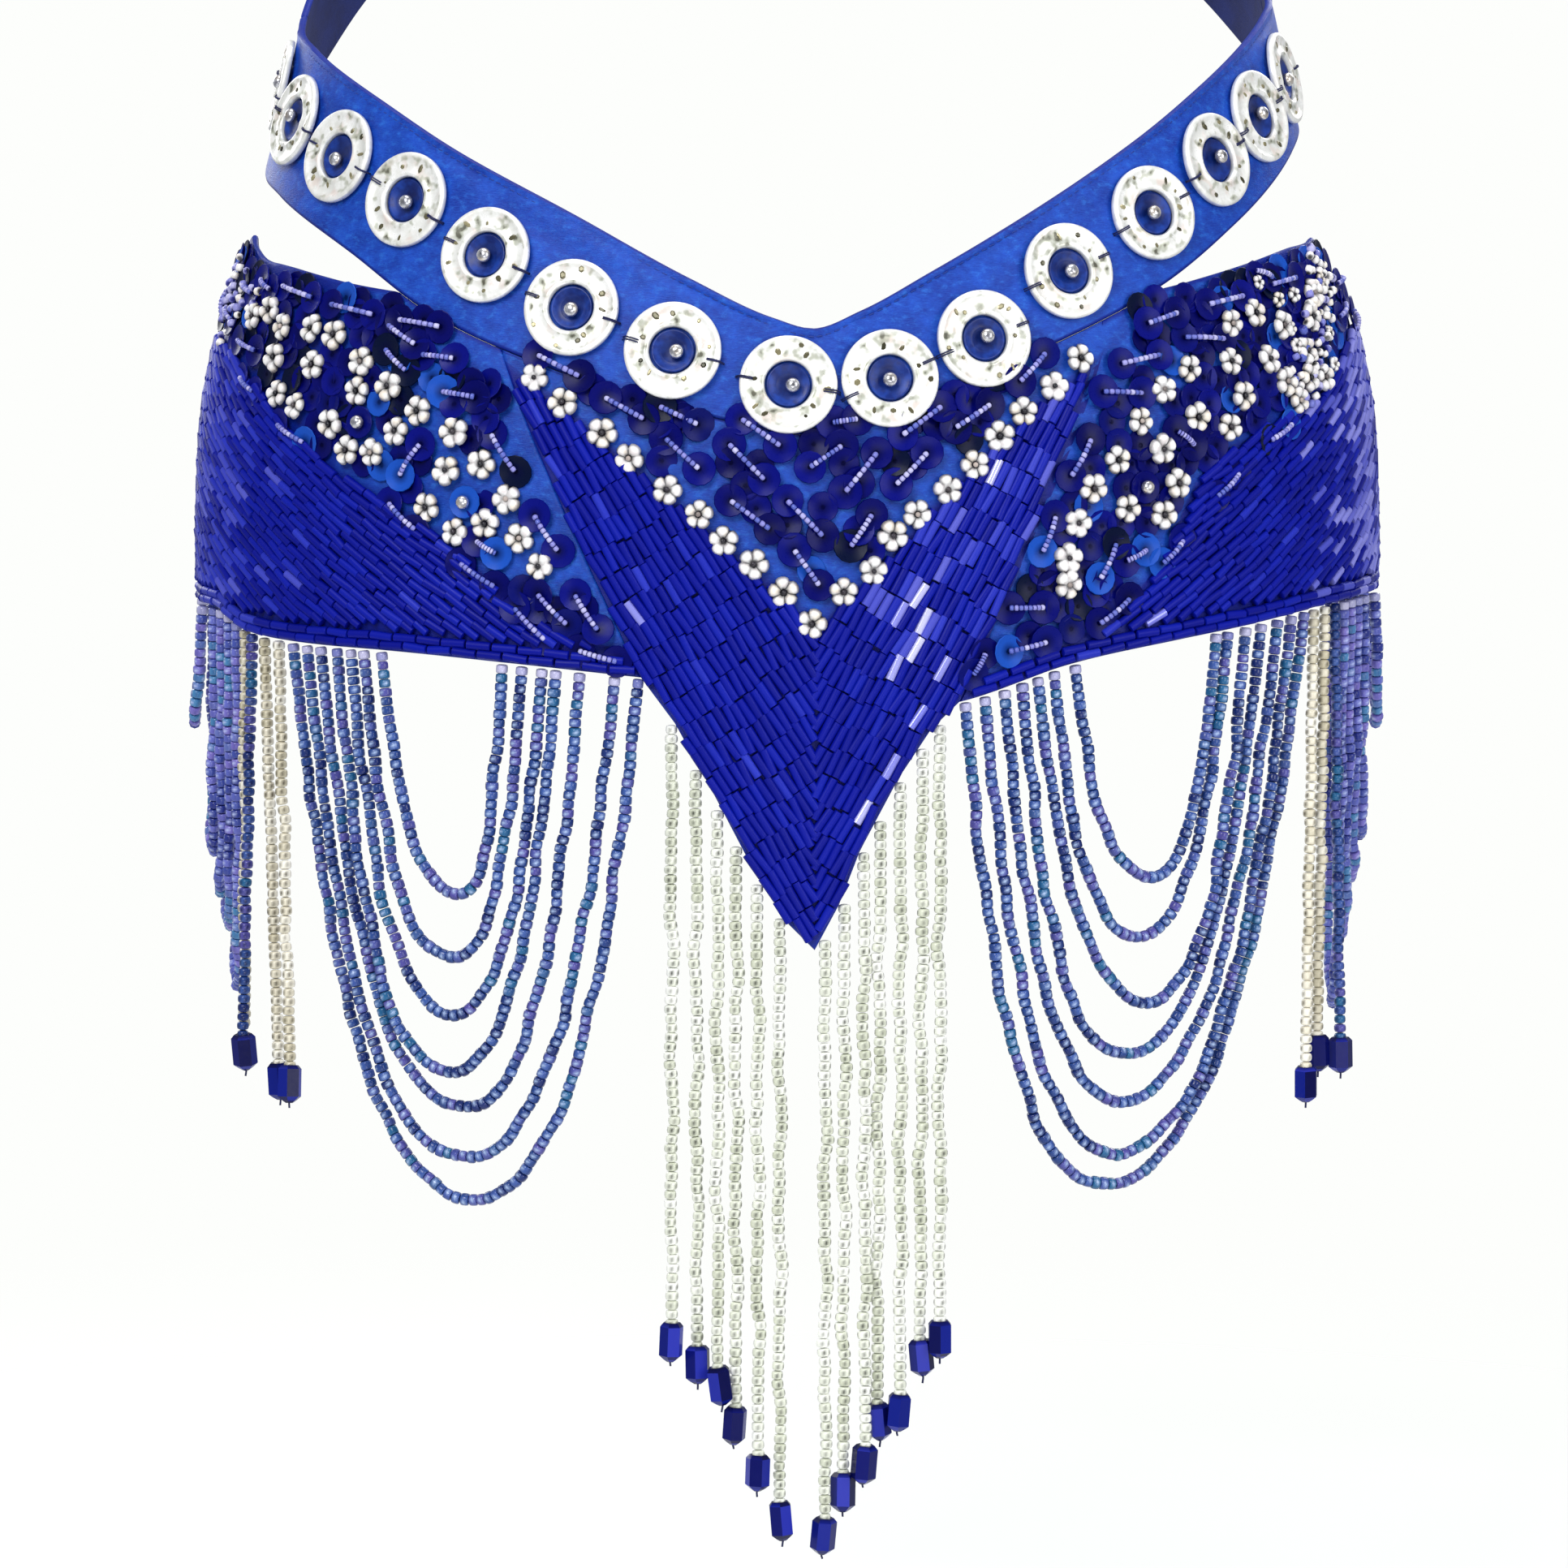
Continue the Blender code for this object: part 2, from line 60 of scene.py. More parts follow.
FIGURE = (              # height, half the width side to side
    (-60, 180), (0, 180), (20, 178.8), (40, 175.5), (69, 168), (100, 159.5), (138, 150),
    (170, 144), (200, 140.5), (230, 139),
)
BAND = (                # around, lower edge, upper edge
    (-485, 182, 216), (-400, 180, 214), (-350, 172, 207), (-310, 157, 193), (-275, 126, 168),
    (-242, 100, 144), (-202, 88, 132), (-155, 71, 115.5), (-119, 53, 100), (-75, 36.5, 81.3),
    (-37, 25.5, 63), (-12, 20, 52), (0, 18.5, 49), (14, 21, 54), (36, 30.5, 65), (77, 46, 85.6),
    (114, 61.5, 104), (151, 80, 122), (200, 102, 142), (242, 116, 155), (275, 138, 176),
    (310, 161, 196), (350, 173, 208), (400, 180, 214), (485, 182, 216),
)
BELT = (                # around, hem, upper edge where the strap doesn't cover it
    (-485, -26, 42), (-400, -28, 43), (-330, -31, 46), (-285, -32.5, 53), (-264, -33, 60.5),
    (-250, -33.5, 67), (-242, -33.8, 70.2), (-232, -34.1, 73.6), (-224, -34.4, 76.2),
    (-221, -34.5, 77.2), (-219, -34.5, 75.8), (-210, -34.8, 72.3), (-204, -35.5, 70.5), (-197, -38, 69),
    (-190, -40.5, 68.2), (-183, -41.7, 67.3), (-167, -43, 64.7), (-152, -43.7, 62.2),
    (-133, -44.3, 59.7), (-85, -47.5, 55), (-50, -50.7, 50), (42, -58, 50), (75, -48, 55),
    (113, -41.5, 60.5), (136, -38.5, 65), (151, -36.5, 68), (176, -33.5, 72.9), (195, -32.2, 75.6),
    (198, -32, 76.4), (199.5, -31.9, 75.2), (204, -31.8, 71.8), (213, -31.4, 65), (225, -30.5, 60),
    (235, -25.5, 57.5), (242, -21, 56.2), (250, -20, 55), (264, -20, 53), (285, -20.3, 50),
    (330, -22, 46), (400, -25, 43), (485, -26, 42),
)
POINT = (               # around, lower edge of the front panel
    (-50, -50.7), (-40, -64), (-28.5, -85), (-17, -107), (-8, -121), (0, -129), (7, -116), (13, -100.5),
    (24, -80), (33.5, -66), (42, -58),
)
POINT_TOP = (-94, 90)   # around, where the front panel's slanted sides meet the strap
CHEVRON = (             # around, flower row: the upper border of the front panel's bugle beads
    (-93, 40), (-73, 27.5), (-42, 2.5), (-17, -18.5), (0, -35), (17, -20), (38, 3), (61, 25), (89, 42),
)
SIDE_BEADING = (        # around, upper border of the side panels' bugle beads
    (-242, 47), (-217, 45), (-203, 41), (-182, 30), (-153, 12), (-125, -2), (-104, -15), (-84, -32),
    (-50, -44), (42, -52), (75, -41), (95, -29), (106, -16), (117, 3), (144, 20), (178, 31), (192, 40),
    (206, 47), (242, 51),
)
RINGS = (               # around, height
    (-233, 122), (-201.5, 110.5), (-168.3, 99), (-134.6, 85.8), (-102.5, 69.6), (-72.7, 54.5),
    (-41.4, 42.3), (-7.7, 32.7), (21.8, 34.5), (50.5, 45.7), (79.9, 65), (113.6, 82), (145, 98),
    (174.5, 111.5), (206, 124),
)
FRONT_STRANDS = (       # around at the root, around at the end, height of the drop's top
    (-41.2, -41.2, -237.3), (-34.2, -34.2, -244.5), (-28, -28, -250), (-22.6, -22.9, -262.3),
    (-16.6, -16.3, -275.3), (-10.1, -10.1, -290.3), (3, 3, -294.1), (8.6, 8.6, -282),
    (14.2, 14.7, -273.3), (19, 18.6, -261.6), (24.8, 24.8, -258.3), (31.3, 31.3, -243.1),
    (36.4, 36.4, -237.2),
)
RIGHT_STRANDS = (
    (-187.1, -192.1, -162.5), (-180.2, -177.6, -169.8), (-172.9, -167.3, -169.2),
)
LEFT_STRANDS = (
    (170, 165.5, -171.7), (176.6, 177.9, -163.9), (183.2, 186.5, -165.2),
)
RIGHT_LOOPS = (         # around at both roots, share of the way to the lowest point, its height
    (-166, -50.9, 0.51, -205.3), (-159.9, -57.8, 0.50, -192.9), (-154.2, -68.1, 0.54, -177.9),
    (-147.7, -75.2, 0.495, -167.5), (-142.4, -79.4, 0.515, -150), (-137.6, -85.5, 0.54, -133.7),
    (-131.1, -91.6, 0.62, -115),
)
LEFT_LOOPS = (
    (44, 164.6, 0.415, -202.1), (49.9, 158.1, 0.435, -192.7), (55.8, 151.6, 0.435, -176.9),
    (61.2, 144.3, 0.44, -163.3), (66, 137.8, 0.545, -147.8), (71.1, 130.6, 0.49, -128.3),
    (77.7, 126.2, 0.54, -111.2),
)
RIGHT_SIDE_LOOPS = (
    (-275, -197, 0.5, -153.3), (-269.5, -202.5, 0.5, -135), (-264, -208.5, 0.5, -124.3),
    (-258.5, -215, 0.5, -111.5), (-253, -222, 0.5, -71.5),
)
LEFT_SIDE_LOOPS = (
    (189.5, 275, 0.5, -161), (195.5, 269.5, 0.5, -139.2), (202, 264, 0.5, -121.6),
    (209, 258.5, 0.5, -108.5), (217, 253, 0.5, -72.8),
)
BARE_STRAND = (-191.5, -198.3, -159.8)      # clear beads only, beside the right hip's strands
BLUE_STRANDS = (-187.1, 183.2)              # roots of the two strands of blue beads
SIDE_SWING = (          # for each side loop, out at the roots and at the lowest point
    (0, 0), (0, 0.3), (0.2, 0.8), (0.6, 1.5), (2.6, 5.2),
)
STRAND_OUT = -1.0       # where the fringe hangs, against the cloth's outer face
STRAND_SWING = 1.8      # straight strands end this far out and in by turns, so that drops are clear

# Flower beads, at (around, height).
FRONT_FLOWERS = (
    (-82, 34.6), (-73, 27.5), (-61, 19), (-53, 12), (-42, 3), (-33, -4), (-26, -11.5), (-17.5, -18),
    (-9, -26), (-1, -35), (8, -26), (16.5, -20), (22, -10), (29, -4), (38, 3), (46, 10), (53.5, 18),
    (61, 25), (71, 32), (80, 40),
)
RIGHT_FLOWERS = (
    (-194, 52), (-185, 54), (-176, 49), (-162, 48.5), (-152, 46.6), (-177, 40), (-159, 38), (-140, 39),
    (-140, 30.5), (-129, 32), (-173, 29.5), (-164, 26), (-149, 21), (-125, 19), (-118, 25), (-106, 19),
    (-133, 13), (-142, 13.5), (-108, 8), (-97, 10), (-114, -2.5), (-89, 0), (-95.5, -7), (-105, -9.5),
    (-85, -11), (-79, -19),
)
LEFT_FLOWERS = (
    (136, 50), (147, 53), (159, 49.5), (149.5, 39.5), (133, 39), (117, 37), (156, 33), (107, 31),
    (136.5, 29), (98, 22), (118, 23), (130, 20), (105, 14), (90, 11), (82, 3), (110, 4), (93, -3),
    (105, -5), (77, -7), (74, -17), (74, -24.5), (181, 59), (176, 52), (169, 42), (168, 34), (177, 34),
    (161, 27.5),
)
SMALL_STARS = (         # half-size flower beads on the left hip
    (169, 58.5), (164, 43.5), (163, 48.5), (189, 63), (186, 47), (185, 38), (152, 62), (160, 57),
)
# Seed-bead rows with a sequin under each end: around and height of both ends.
FRONT_ROWS = (
    (-81.5, 41, -68.5, 35), (-60.5, 29, -49, 23), (-44.5, 26.5, -33.5, 21.5), (-42.5, 17.5, -33, 9),
    (-21, 23, -10, 15.5), (-24.5, 16, -14.5, 6), (-24, 0, -13, -8), (-8, 0, 2, -10), (-6, -14, 1, -24),
    (-1.5, 9.5, 7.5, 15.5), (5, 22, 12, 23), (8.5, 2.5, 17.5, 13.5), (23, 4.5, 32, 13.5),
    (10, -13, 16, -4), (25, 18.5, 36.5, 26.5), (40.5, 20.5, 51, 27), (60.5, 33.5, 69, 41.5),
)
RIGHT_ROWS = (
    (-195, 63, -188, 60), (-181, 61, -165, 57.5), (-156, 55.5, -138.5, 52.5), (-128.5, 51, -114, 49),
    (-132, 49.5, -121.5, 44), (-118.5, 41, -108, 40), (-131.5, 42.5, -123.5, 36.5),
    (-110.5, 30.5, -100, 29), (-201.5, 45, -188.5, 42), (-194.5, 34, -185.5, 30),
    (-171, 20.5, -159, 15.5), (-116.5, 15.5, -123, 6.5), (-126.5, -1.5, -117.5, -9),
    (-94, 18.5, -86.5, 8), (-80.5, -4.5, -73.5, -14.5), (-98, -12, -92, -15.5),
    (-103, -18.5, -92.5, -25), (-86.5, -31, -77.5, -40), (-79.5, -27, -71, -35.5),
    (-68.5, -27, -62, -37), (-67.5, -43, -56.5, -46), (-210, 62, -200, 59), (-222, 55, -212, 51),
    (-232, 60, -226, 52),
)
LEFT_ROWS = (
    (104.5, 50, 115.5, 53), (128.5, 55.5, 143.5, 58), (93.5, 38.5, 107, 41), (117, 46, 132, 45.5),
    (86.5, 30.5, 99.5, 30), (152, 65.5, 159, 63.5), (158.5, 61.5, 172, 63.5), (110.5, 19, 116, 15),
    (146, 16, 156, 20.5), (75, 6.5, 81.5, 17), (66, -15, 70, -5), (84, -23, 89, -13),
    (92.5, -18, 99, -15), (104.5, -19, 111.5, -12.5), (84, -36, 93.5, -29), (56, -31, 66.5, -31),
    (56, -43.5, 67.5, -41), (45.5, -50, 49, -44), (124, 0, 132.5, 6.5), (198, 52, 208, 56),
    (205, 62, 214, 64), (218, 48, 226, 54),
)
# Bands of small loose beads on the hips: around and height of both ends, half width, beads.
HIP_BANDS = (
    (194, 69, 177, 46, 8, 46), (177, 46, 161, 29, 7, 26), (-226, 68, -214, 46, 9, 26),
    (-212, 60, -196, 56, 6, 12),
)
LONE_SEQUINS = (        # each with one silver bead on it
    (-138, 21.5), (-102, -1), (99, 3),
)
# Bugle beads given a painted highlight of pale lit glass.
FLASHES = (             # bugle beads that catch the light: around, height
    (28.3, -27.4), (24.6, -33.2), (33.4, -32.1), (22.6, -49.9), (28.1, -46), (35.1, -49.5),
    (30.5, -61.1), (21, -75.4), (15, -86.5), (52, 8), (-62, -36), (105, -34), (-49, -34),
)
# Creases of the plain satin: around, height, angle, half length, half width, rise.
STRAP_CREASES = (
    (0, 40, 88, 12, 2.6, -0.55), (-9, 46, -55, 15, 2.6, 0.45), (10, 47, 58, 14, 2.4, 0.40),
    (-55, 66, -27, 26, 3.2, 0.45), (-92, 80, -31, 30, 3.4, -0.40), (-128, 97, -24, 28, 3, 0.50),
    (-165, 108, -17, 24, 3, -0.40), (-192, 120, -26, 22, 3.4, 0.45), (-225, 132, -60, 15, 3.2, 0.50),
    (-118, 60, -28, 16, 2.4, 0.30), (-180, 83, -14, 20, 2.6, 0.40), (58, 66, 26, 26, 3, 0.40),
    (96, 84, 30, 28, 3.4, -0.45), (130, 104, 24, 26, 3, 0.45), (168, 120, 20, 26, 3.2, -0.40),
    (196, 134, 28, 20, 3, 0.45), (228, 140, 62, 15, 3.2, 0.50), (128, 72, 28, 18, 2.6, 0.35),
    (190, 104, 16, 20, 2.6, 0.40), (262, 140, 52, 16, 3.4, -0.55), (300, 172, 30, 26, 3.2, 0.50),
    (345, 186, 14, 30, 3.6, -0.50), (395, 200, 4, 32, 3.4, 0.50), (440, 196, -6, 30, 3.2, -0.45),
    (478, 200, 70, 14, 3, 0.45), (-262, 128, -50, 16, 3.4, -0.50), (-302, 168, -32, 24, 3.2, 0.55),
    (-350, 188, -12, 32, 3.6, -0.45), (-400, 196, -3, 30, 3.2, 0.50), (-446, 200, 7, 28, 3.4, -0.50),
)
BELT_CREASES = (
    (256, 20, 78, 30, 4, -0.9), (268, 44, 62, 24, 4, 0.8), (292, 10, -20, 38, 5.5, 0.8),
    (335, -6, 10, 46, 6, -0.9), (372, 20, -8, 44, 5.5, 0.8), (420, 2, 14, 42, 5, -0.8),
    (455, 22, -14, 30, 5, 0.7), (474, -8, 64, 18, 4, 0.7), (-254, 0, -80, 32, 4, -0.9),
    (-270, 40, -58, 24, 4, 0.8), (-296, -6, 18, 40, 5.5, 0.8), (-340, 20, -10, 44, 6, -0.8),
    (-382, -4, 9, 44, 5.5, 0.8), (-428, 22, -12, 40, 5, -0.7), (-458, -6, 15, 28, 5, 0.7),
)


# ---------------- places on the figure

def through(rows, column, at):
    """Smooth curve through a table: cubic pieces whose slopes come from the neighbouring rows."""
    table = np.array(rows, dtype=float)
    x, y = table[:, 0], table[:, column]
    slopes = np.gradient(y, x)
    k = np.clip(np.searchsorted(x, at) - 1, 0, len(x) - 2)
    span = x[k + 1] - x[k]
    t = np.clip((at - x[k]) / span, 0, 1)
    ends = (1 + 2 * t) * (1 - t) ** 2 * y[k] + t * t * (3 - 2 * t) * y[k + 1]
    return ends + t * (1 - t) * span * ((1 - t) * slopes[k] - t * slopes[k + 1])


def straight_through(rows, at):
    """Straight lines from row to row of a table of two columns."""
    return np.interp(at, *np.array(rows, dtype=float).T)


half_width = partial(through, FIGURE, 1)
strap_low, strap_top = partial(through, BAND, 1), partial(through, BAND, 2)
hem, belt_top = partial(through, BELT, 1), partial(through, BELT, 2)
side_border = partial(through, SIDE_BEADING, 1)
point_hem, chevron = partial(straight_through, POINT), partial(straight_through, CHEVRON)


def slope(curve, at, step=1.0):
    """How steeply a curve climbs, from a step before a place to a step after it."""
    return (curve(at + step) - curve(at - step)) / (2 * step)


def unit(vectors):
    """Vectors divided by their own length."""
    return vectors / np.linalg.norm(vectors, axis=-1, keepdims=True)


def swing(first, second, angle):
    """Two axes at right angles, turned in their own plane by angles in radians."""
    cos, sin = np.cos(angle)[..., None], np.sin(angle)[..., None]
    return first * cos + second * sin, second * cos - first * sin


def skin(around, height, out=0.0):
    """Points in metres: an ellipse at each height, moved out along the figure's normal.

    Around becomes the ellipse's turn by its length at the hip line, summed over TURNS.
    """
    around, height, out = np.broadcast_arrays(around, height, out)
    turn = np.sign(around) * np.interp(np.abs(around), TURN_ARC, TURNS)
    sin, cos, half = np.sin(turn), np.cos(turn), half_width(height)
    normal = unit(np.stack([sin, -cos / DEPTH_RATIO, -slope(half_width, height)], axis=-1))
    surface = np.stack([half * sin, -half * DEPTH_RATIO * cos, height], axis=-1)
    return (surface + normal * out[..., None]) * MM


TURNS = np.linspace(0, 1.2 * math.pi, 1200)
TURN_SPEED = HIP_HALF * np.hypot(np.cos(TURNS), DEPTH_RATIO * np.sin(TURNS))
TURN_ARC = np.concatenate([[0], np.cumsum((TURN_SPEED[1:] + TURN_SPEED[:-1]) / 2 * np.diff(TURNS))])


def lay(around, height, angle=0.0, out=0.0, lean=0.0, tip=0.0):
    """Centres and axes of things that lie on the cloth.

    The x axis runs along the cloth at the angle, in degrees from level, and z stands off the cloth.
    Lean lifts the x end, and tip lifts the y side, both in degrees.
    """
    level = unit(skin(around + 0.5, height) - skin(around - 0.5, height))
    off = unit(np.cross(level, skin(around, height + 0.5) - skin(around, height - 0.5)))
    x, y = swing(level, np.cross(off, level), np.radians(angle))
    x, z = swing(x, off, np.radians(lean))
    y, z = swing(y, z, np.radians(tip))
    return skin(around, height, out), np.stack([x, y, z], axis=-2)


def past_back(length, sign):
    """Around, at a length from the centre front on one side. Past the centre back it's on the other."""
    return np.where(length > BACK, -sign * (2 * BACK - length), sign * length)


def climb(length):
    """How far the right back pieces stand off to lap over the left ones."""
    share = np.clip((length - (BACK - LAP - LAP_RISE)) / LAP_RISE, 0, 1)
    return (WALL + LAP_GAP) * share * share * (3 - 2 * share)


def between(start, end, share):
    """From start to end, half a seam short of each."""
    half_seam = SEAM / 2 * np.sign(end - start)
    return (start + half_seam) * (1 - share) + (end - half_seam) * share


def front_sides(height):
    """Around, at the front panel's right and left sides, which run straight from the hem to the strap."""
    sides = []
    for (low, low_height), top in zip((POINT[0], POINT[-1]), POINT_TOP):
        top_height = strap_low(top) - SEAM
        sides.append(low + (top - low) * (height - low_height) / (top_height - low_height))
    return sides


# ---------------- pieces from arrays

def new_piece(name, points, faces, finishes, picks=None, values=None, uv=None, sharp=None):
    """An object from arrays: points in metres, and groups of faces with equally many corners each.

    picks is the finish of each face, values is a number of each point by name, and sharp is the
    angle in degrees past which an edge stays sharp, with 0 for flat faces.
    """
    counts = np.concatenate([np.full(len(group), group.shape[1]) for group in faces])
    corners = np.concatenate([group.ravel() for group in faces])
    starts = np.concatenate([[0], np.cumsum(counts)[:-1]])
    mesh = bpy.data.meshes.new(name)
    for store, key, numbers in (
        (mesh.vertices, "co", np.float32(points)), (mesh.loops, "vertex_index", np.int32(corners)),
        (mesh.polygons, "loop_start", np.int32(starts)),
    ):
        store.add(len(numbers))
        store.foreach_set(key, numbers.ravel())
    for finish in finishes:
        mesh.materials.append(finish)
    if picks is not None:
        mesh.polygons.foreach_set("material_index", np.int32(picks))
    mesh.update(calc_edges=True)
    for key, numbers in (values or {}).items():
        layer = mesh.attributes.new(key, "FLOAT", "POINT")
        layer.data.foreach_set("value", np.float32(numbers).ravel())
    if uv is not None:
        layer = mesh.uv_layers.new(name="cloth")
        layer.data.foreach_set("uv", np.float32(uv)[corners].ravel())
    if sharp == 0:
        mesh.shade_flat()
    else:
        mesh.shade_smooth()
        if sharp is not None:
            mesh.set_sharp_from_angle(angle=math.radians(sharp))
    piece = bpy.data.objects.new(name, mesh)
    bpy.context.scene.collection.objects.link(piece)
    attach(piece, "root")
    return piece


def copied(faces, count, size):
    """The faces of so many copies of a shape, whose points follow each other."""
    first = np.arange(count)[:, None, None] * size
    return [(group + first).reshape(-1, group.shape[1]) for group in faces]


def scatter(name, shape, places, finishes, sizes=(1, 1, 1), picked=None, values=None, sharp=None):
    """A piece of many copies of a shape in millimetres, sized, turned to their axes and moved.

    places is the centres and axes, and sizes are along those axes. picked is each copy's finish.
    values holds, by name, a column with a number for each copy, a row with one for each point of
    the shape, or a whole grid.
    """
    points, faces = shape
    centres, axes = places
    count = len(centres)
    sizes = np.stack([np.broadcast_to(size, count) for size in sizes], axis=-1)[:, None]
    placed = centres[:, None] + np.einsum("mnk,mkj->mnj", points * sizes * MM, axes)
    copies = copied(faces, count, len(points))
    picks = None if picked is None else np.concatenate([np.repeat(picked, len(group)) for group in faces])
    values = {key: np.broadcast_to(numbers, (count, len(points))) for key, numbers in (values or {}).items()}
    return new_piece(name, placed.reshape(-1, 3), copies, finishes, picks, values, sharp=sharp)


def grid_quads(rows, columns, wrap_rows=False, wrap_columns=False):
    """Four-sided faces of a grid of points that is stored row after row."""
    row = np.arange(rows if wrap_rows else rows - 1)[:, None]
    column = np.arange(columns if wrap_columns else columns - 1)[None, :]
    row_after, column_after = (row + 1) % rows, (column + 1) % columns
    corners = [row * columns + column, row * columns + column_after,
               row_after * columns + column_after, row_after * columns + column]
    return np.stack(corners, axis=-1).reshape(-1, 4)


def circle(steps):
    """Angles of even steps round a circle, from 0."""
    return np.arange(steps) / steps * 2 * math.pi


def round_about(radius, angle, level):
    """Points at a radius and an angle about z."""
    return np.stack(np.broadcast_arrays(radius * np.cos(angle), radius * np.sin(angle), level), axis=-1)


def tube_faces(rows, steps):
    """Faces round a tube of rings, and fans at both ends to two poles, which are stored last."""
    here = np.arange(steps)
    there = (here + 1) % steps
    last = (rows - 1) * steps
    fans = [np.stack([there, here, np.full(steps, rows * steps)], axis=-1),
            np.stack([last + here, last + there, np.full(steps, rows * steps + 1)], axis=-1)]
    return [grid_quads(rows, steps, wrap_columns=True), np.concatenate(fans)]


def turned(profile, steps):
    """A profile of (radius, z) rows turned about z: rings of points, and a pole where it starts and ends.

    The profile runs from the lower pole's side up to the upper one's, so the faces point outwards.
    """
    radius, z = np.array(profile, dtype=float).T[..., None]
    rings = round_about(radius, circle(steps), z).reshape(-1, 3)
    return np.concatenate([rings, [[0, 0, z[0, 0]], [0, 0, z[-1, 0]]]]), tube_faces(len(profile), steps)


def ball(radius, half_height, rows, steps, pole=0.35, middle=0.0):
    """A flattened ball, with its poles cut off at an angle from the axis."""
    angles = np.linspace(pole, math.pi - pole, rows)
    return turned([(radius * math.sin(a), middle - half_height * math.cos(a)) for a in angles], steps)


def barrel(steps, *half):
    """A bead threaded along x, from (radius, distance from its middle) rows that run in from an end."""
    first = [(radius, -away) for radius, away in half]
    points, faces = turned([*first, *[row for row in half[::-1] if row[1]]], steps)
    return points[:, [2, 0, 1]], faces


def joined(parts):
    """Several (points, faces) put into one."""
    points, faces = [], []
    for part_points, part_faces in parts:
        faces += [group + sum(map(len, points)) for group in part_faces]
        points.append(part_points)
    return np.concatenate(points), faces


def tubes(paths, radius, steps=5):
    """Round threads along paths: an array (threads, points, 3) in metres, closed at both ends.

    A circle is carried along each path, and a pole closes each end.
    """
    count, length, _ = paths.shape
    along = unit(np.gradient(paths, axis=1))
    guide = np.where(np.abs(along[..., 2:]) > 0.9, (0.0, 1.0, 0.0), (0.0, 0.0, 1.0))
    side = unit(np.cross(guide, along))
    ring, _ = swing(side[:, :, None], np.cross(along, side)[:, :, None], circle(steps))
    rings = (paths[:, :, None] + ring * radius * MM).reshape(count, -1, 3)
    points = np.concatenate([rings, paths[:, :1], paths[:, -1:]], axis=1)
    return points.reshape(-1, 3), copied(tube_faces(length, steps), count, points.shape[1])


# ---------------- finishes

def shade(red, green, blue):
    """A screen colour, 0 to 255 each, as the linear colour that a shader takes."""
    screen = np.array([red, green, blue]) / 255
    linear = np.where(screen <= 0.04045, screen / 12.92, ((screen + 0.055) / 1.055) ** 2.4)
    return (*linear.tolist(), 1.0)


class Wire:
    """An output of a node, with sums written on it."""

    def __init__(self, finish, socket):
        self.finish, self.socket = finish, socket

    def math(self, operation, first, second):
        return self.finish.node("ShaderNodeMath", {"operation": operation}, {0: first, 1: second})

    def __add__(self, other):
        return self.math("ADD", self, other)

    def __sub__(self, other):
        return self.math("SUBTRACT", self, other)

    def __rsub__(self, other):
        return self.math("SUBTRACT", other, self)

    def __mul__(self, other):
        return self.math("MULTIPLY", self, other)

    __radd__ = __add__
    __rmul__ = __mul__

    def between(self, low, high):
        """0 below low and 1 above high, with a soft step."""
        settings = {"interpolation_type": "SMOOTHSTEP"}
        return self.finish.node("ShaderNodeMapRange", settings, {0: self, 1: low, 2: high})


class Finish:
    """A material: its shader, and one method that adds any other node."""

    def __init__(self, name, **sockets):
        self.material = bpy.data.materials.new(name)
        self.material.use_nodes = True
        self.tree = self.material.node_tree
        self.shader = self.tree.nodes["Principled BSDF"]
        self.feed(**sockets)

    def node(self, kind, settings=None, inputs=None, output=0):
        node = self.tree.nodes.new(kind)
        for key, value in (settings or {}).items():
            setattr(node, key, value)
        for key, value in (inputs or {}).items():
            self.plug(node.inputs[key], value)
        return Wire(self, node.outputs[output])

    def plug(self, socket, value):
        if isinstance(value, Wire):
            self.tree.links.new(value.socket, socket)
        else:
            socket.default_value = value

    def feed(self, **sockets):
        for socket, value in sockets.items():
            self.plug(self.shader.inputs[socket.replace("_", " ")], value)
        return self.material

    def mix(self, share, first, second):
        """One colour over another, by share."""
        first, second = (item if isinstance(item, Wire) else shade(*item) for item in (first, second))
        settings = {"data_type": "RGBA", "blend_type": "MIX"}
        return self.node("ShaderNodeMix", settings, {0: share, 6: first, 7: second}, 2)

    def layers(self, base, *shares):
        """A base with more colours laid over it, each by its share."""
        for share, colour in shares:
            base = self.mix(share, base, colour)
        return base

    def value(self, name):
        """A number kept on the mesh."""
        return self.node("ShaderNodeAttribute", {"attribute_name": name}, None, "Fac")

    def cloth_place(self, turn=0.0, stretch=(1.0, 1.0, 1.0)):
        """The cloth's own map in centimetres, turned and stretched."""
        place = self.node("ShaderNodeTexCoord", None, None, "UV")
        inputs = {"Vector": place, "Rotation": (0.0, 0.0, math.radians(turn)), "Scale": stretch}
        return self.node("ShaderNodeMapping", None, inputs)

    def object_place(self):
        return self.node("ShaderNodeTexCoord", None, None, "Object")

    def noise(self, place, scale, detail=2.0, roughness=0.5):
        inputs = {"Vector": place, "Scale": scale, "Detail": detail, "Roughness": roughness}
        return self.node("ShaderNodeTexNoise", None, inputs)

    def bump(self, height, strength, distance, **over):
        inputs = {"Height": height, "Strength": strength, "Distance": distance, **over}
        return self.node("ShaderNodeBump", None, inputs)


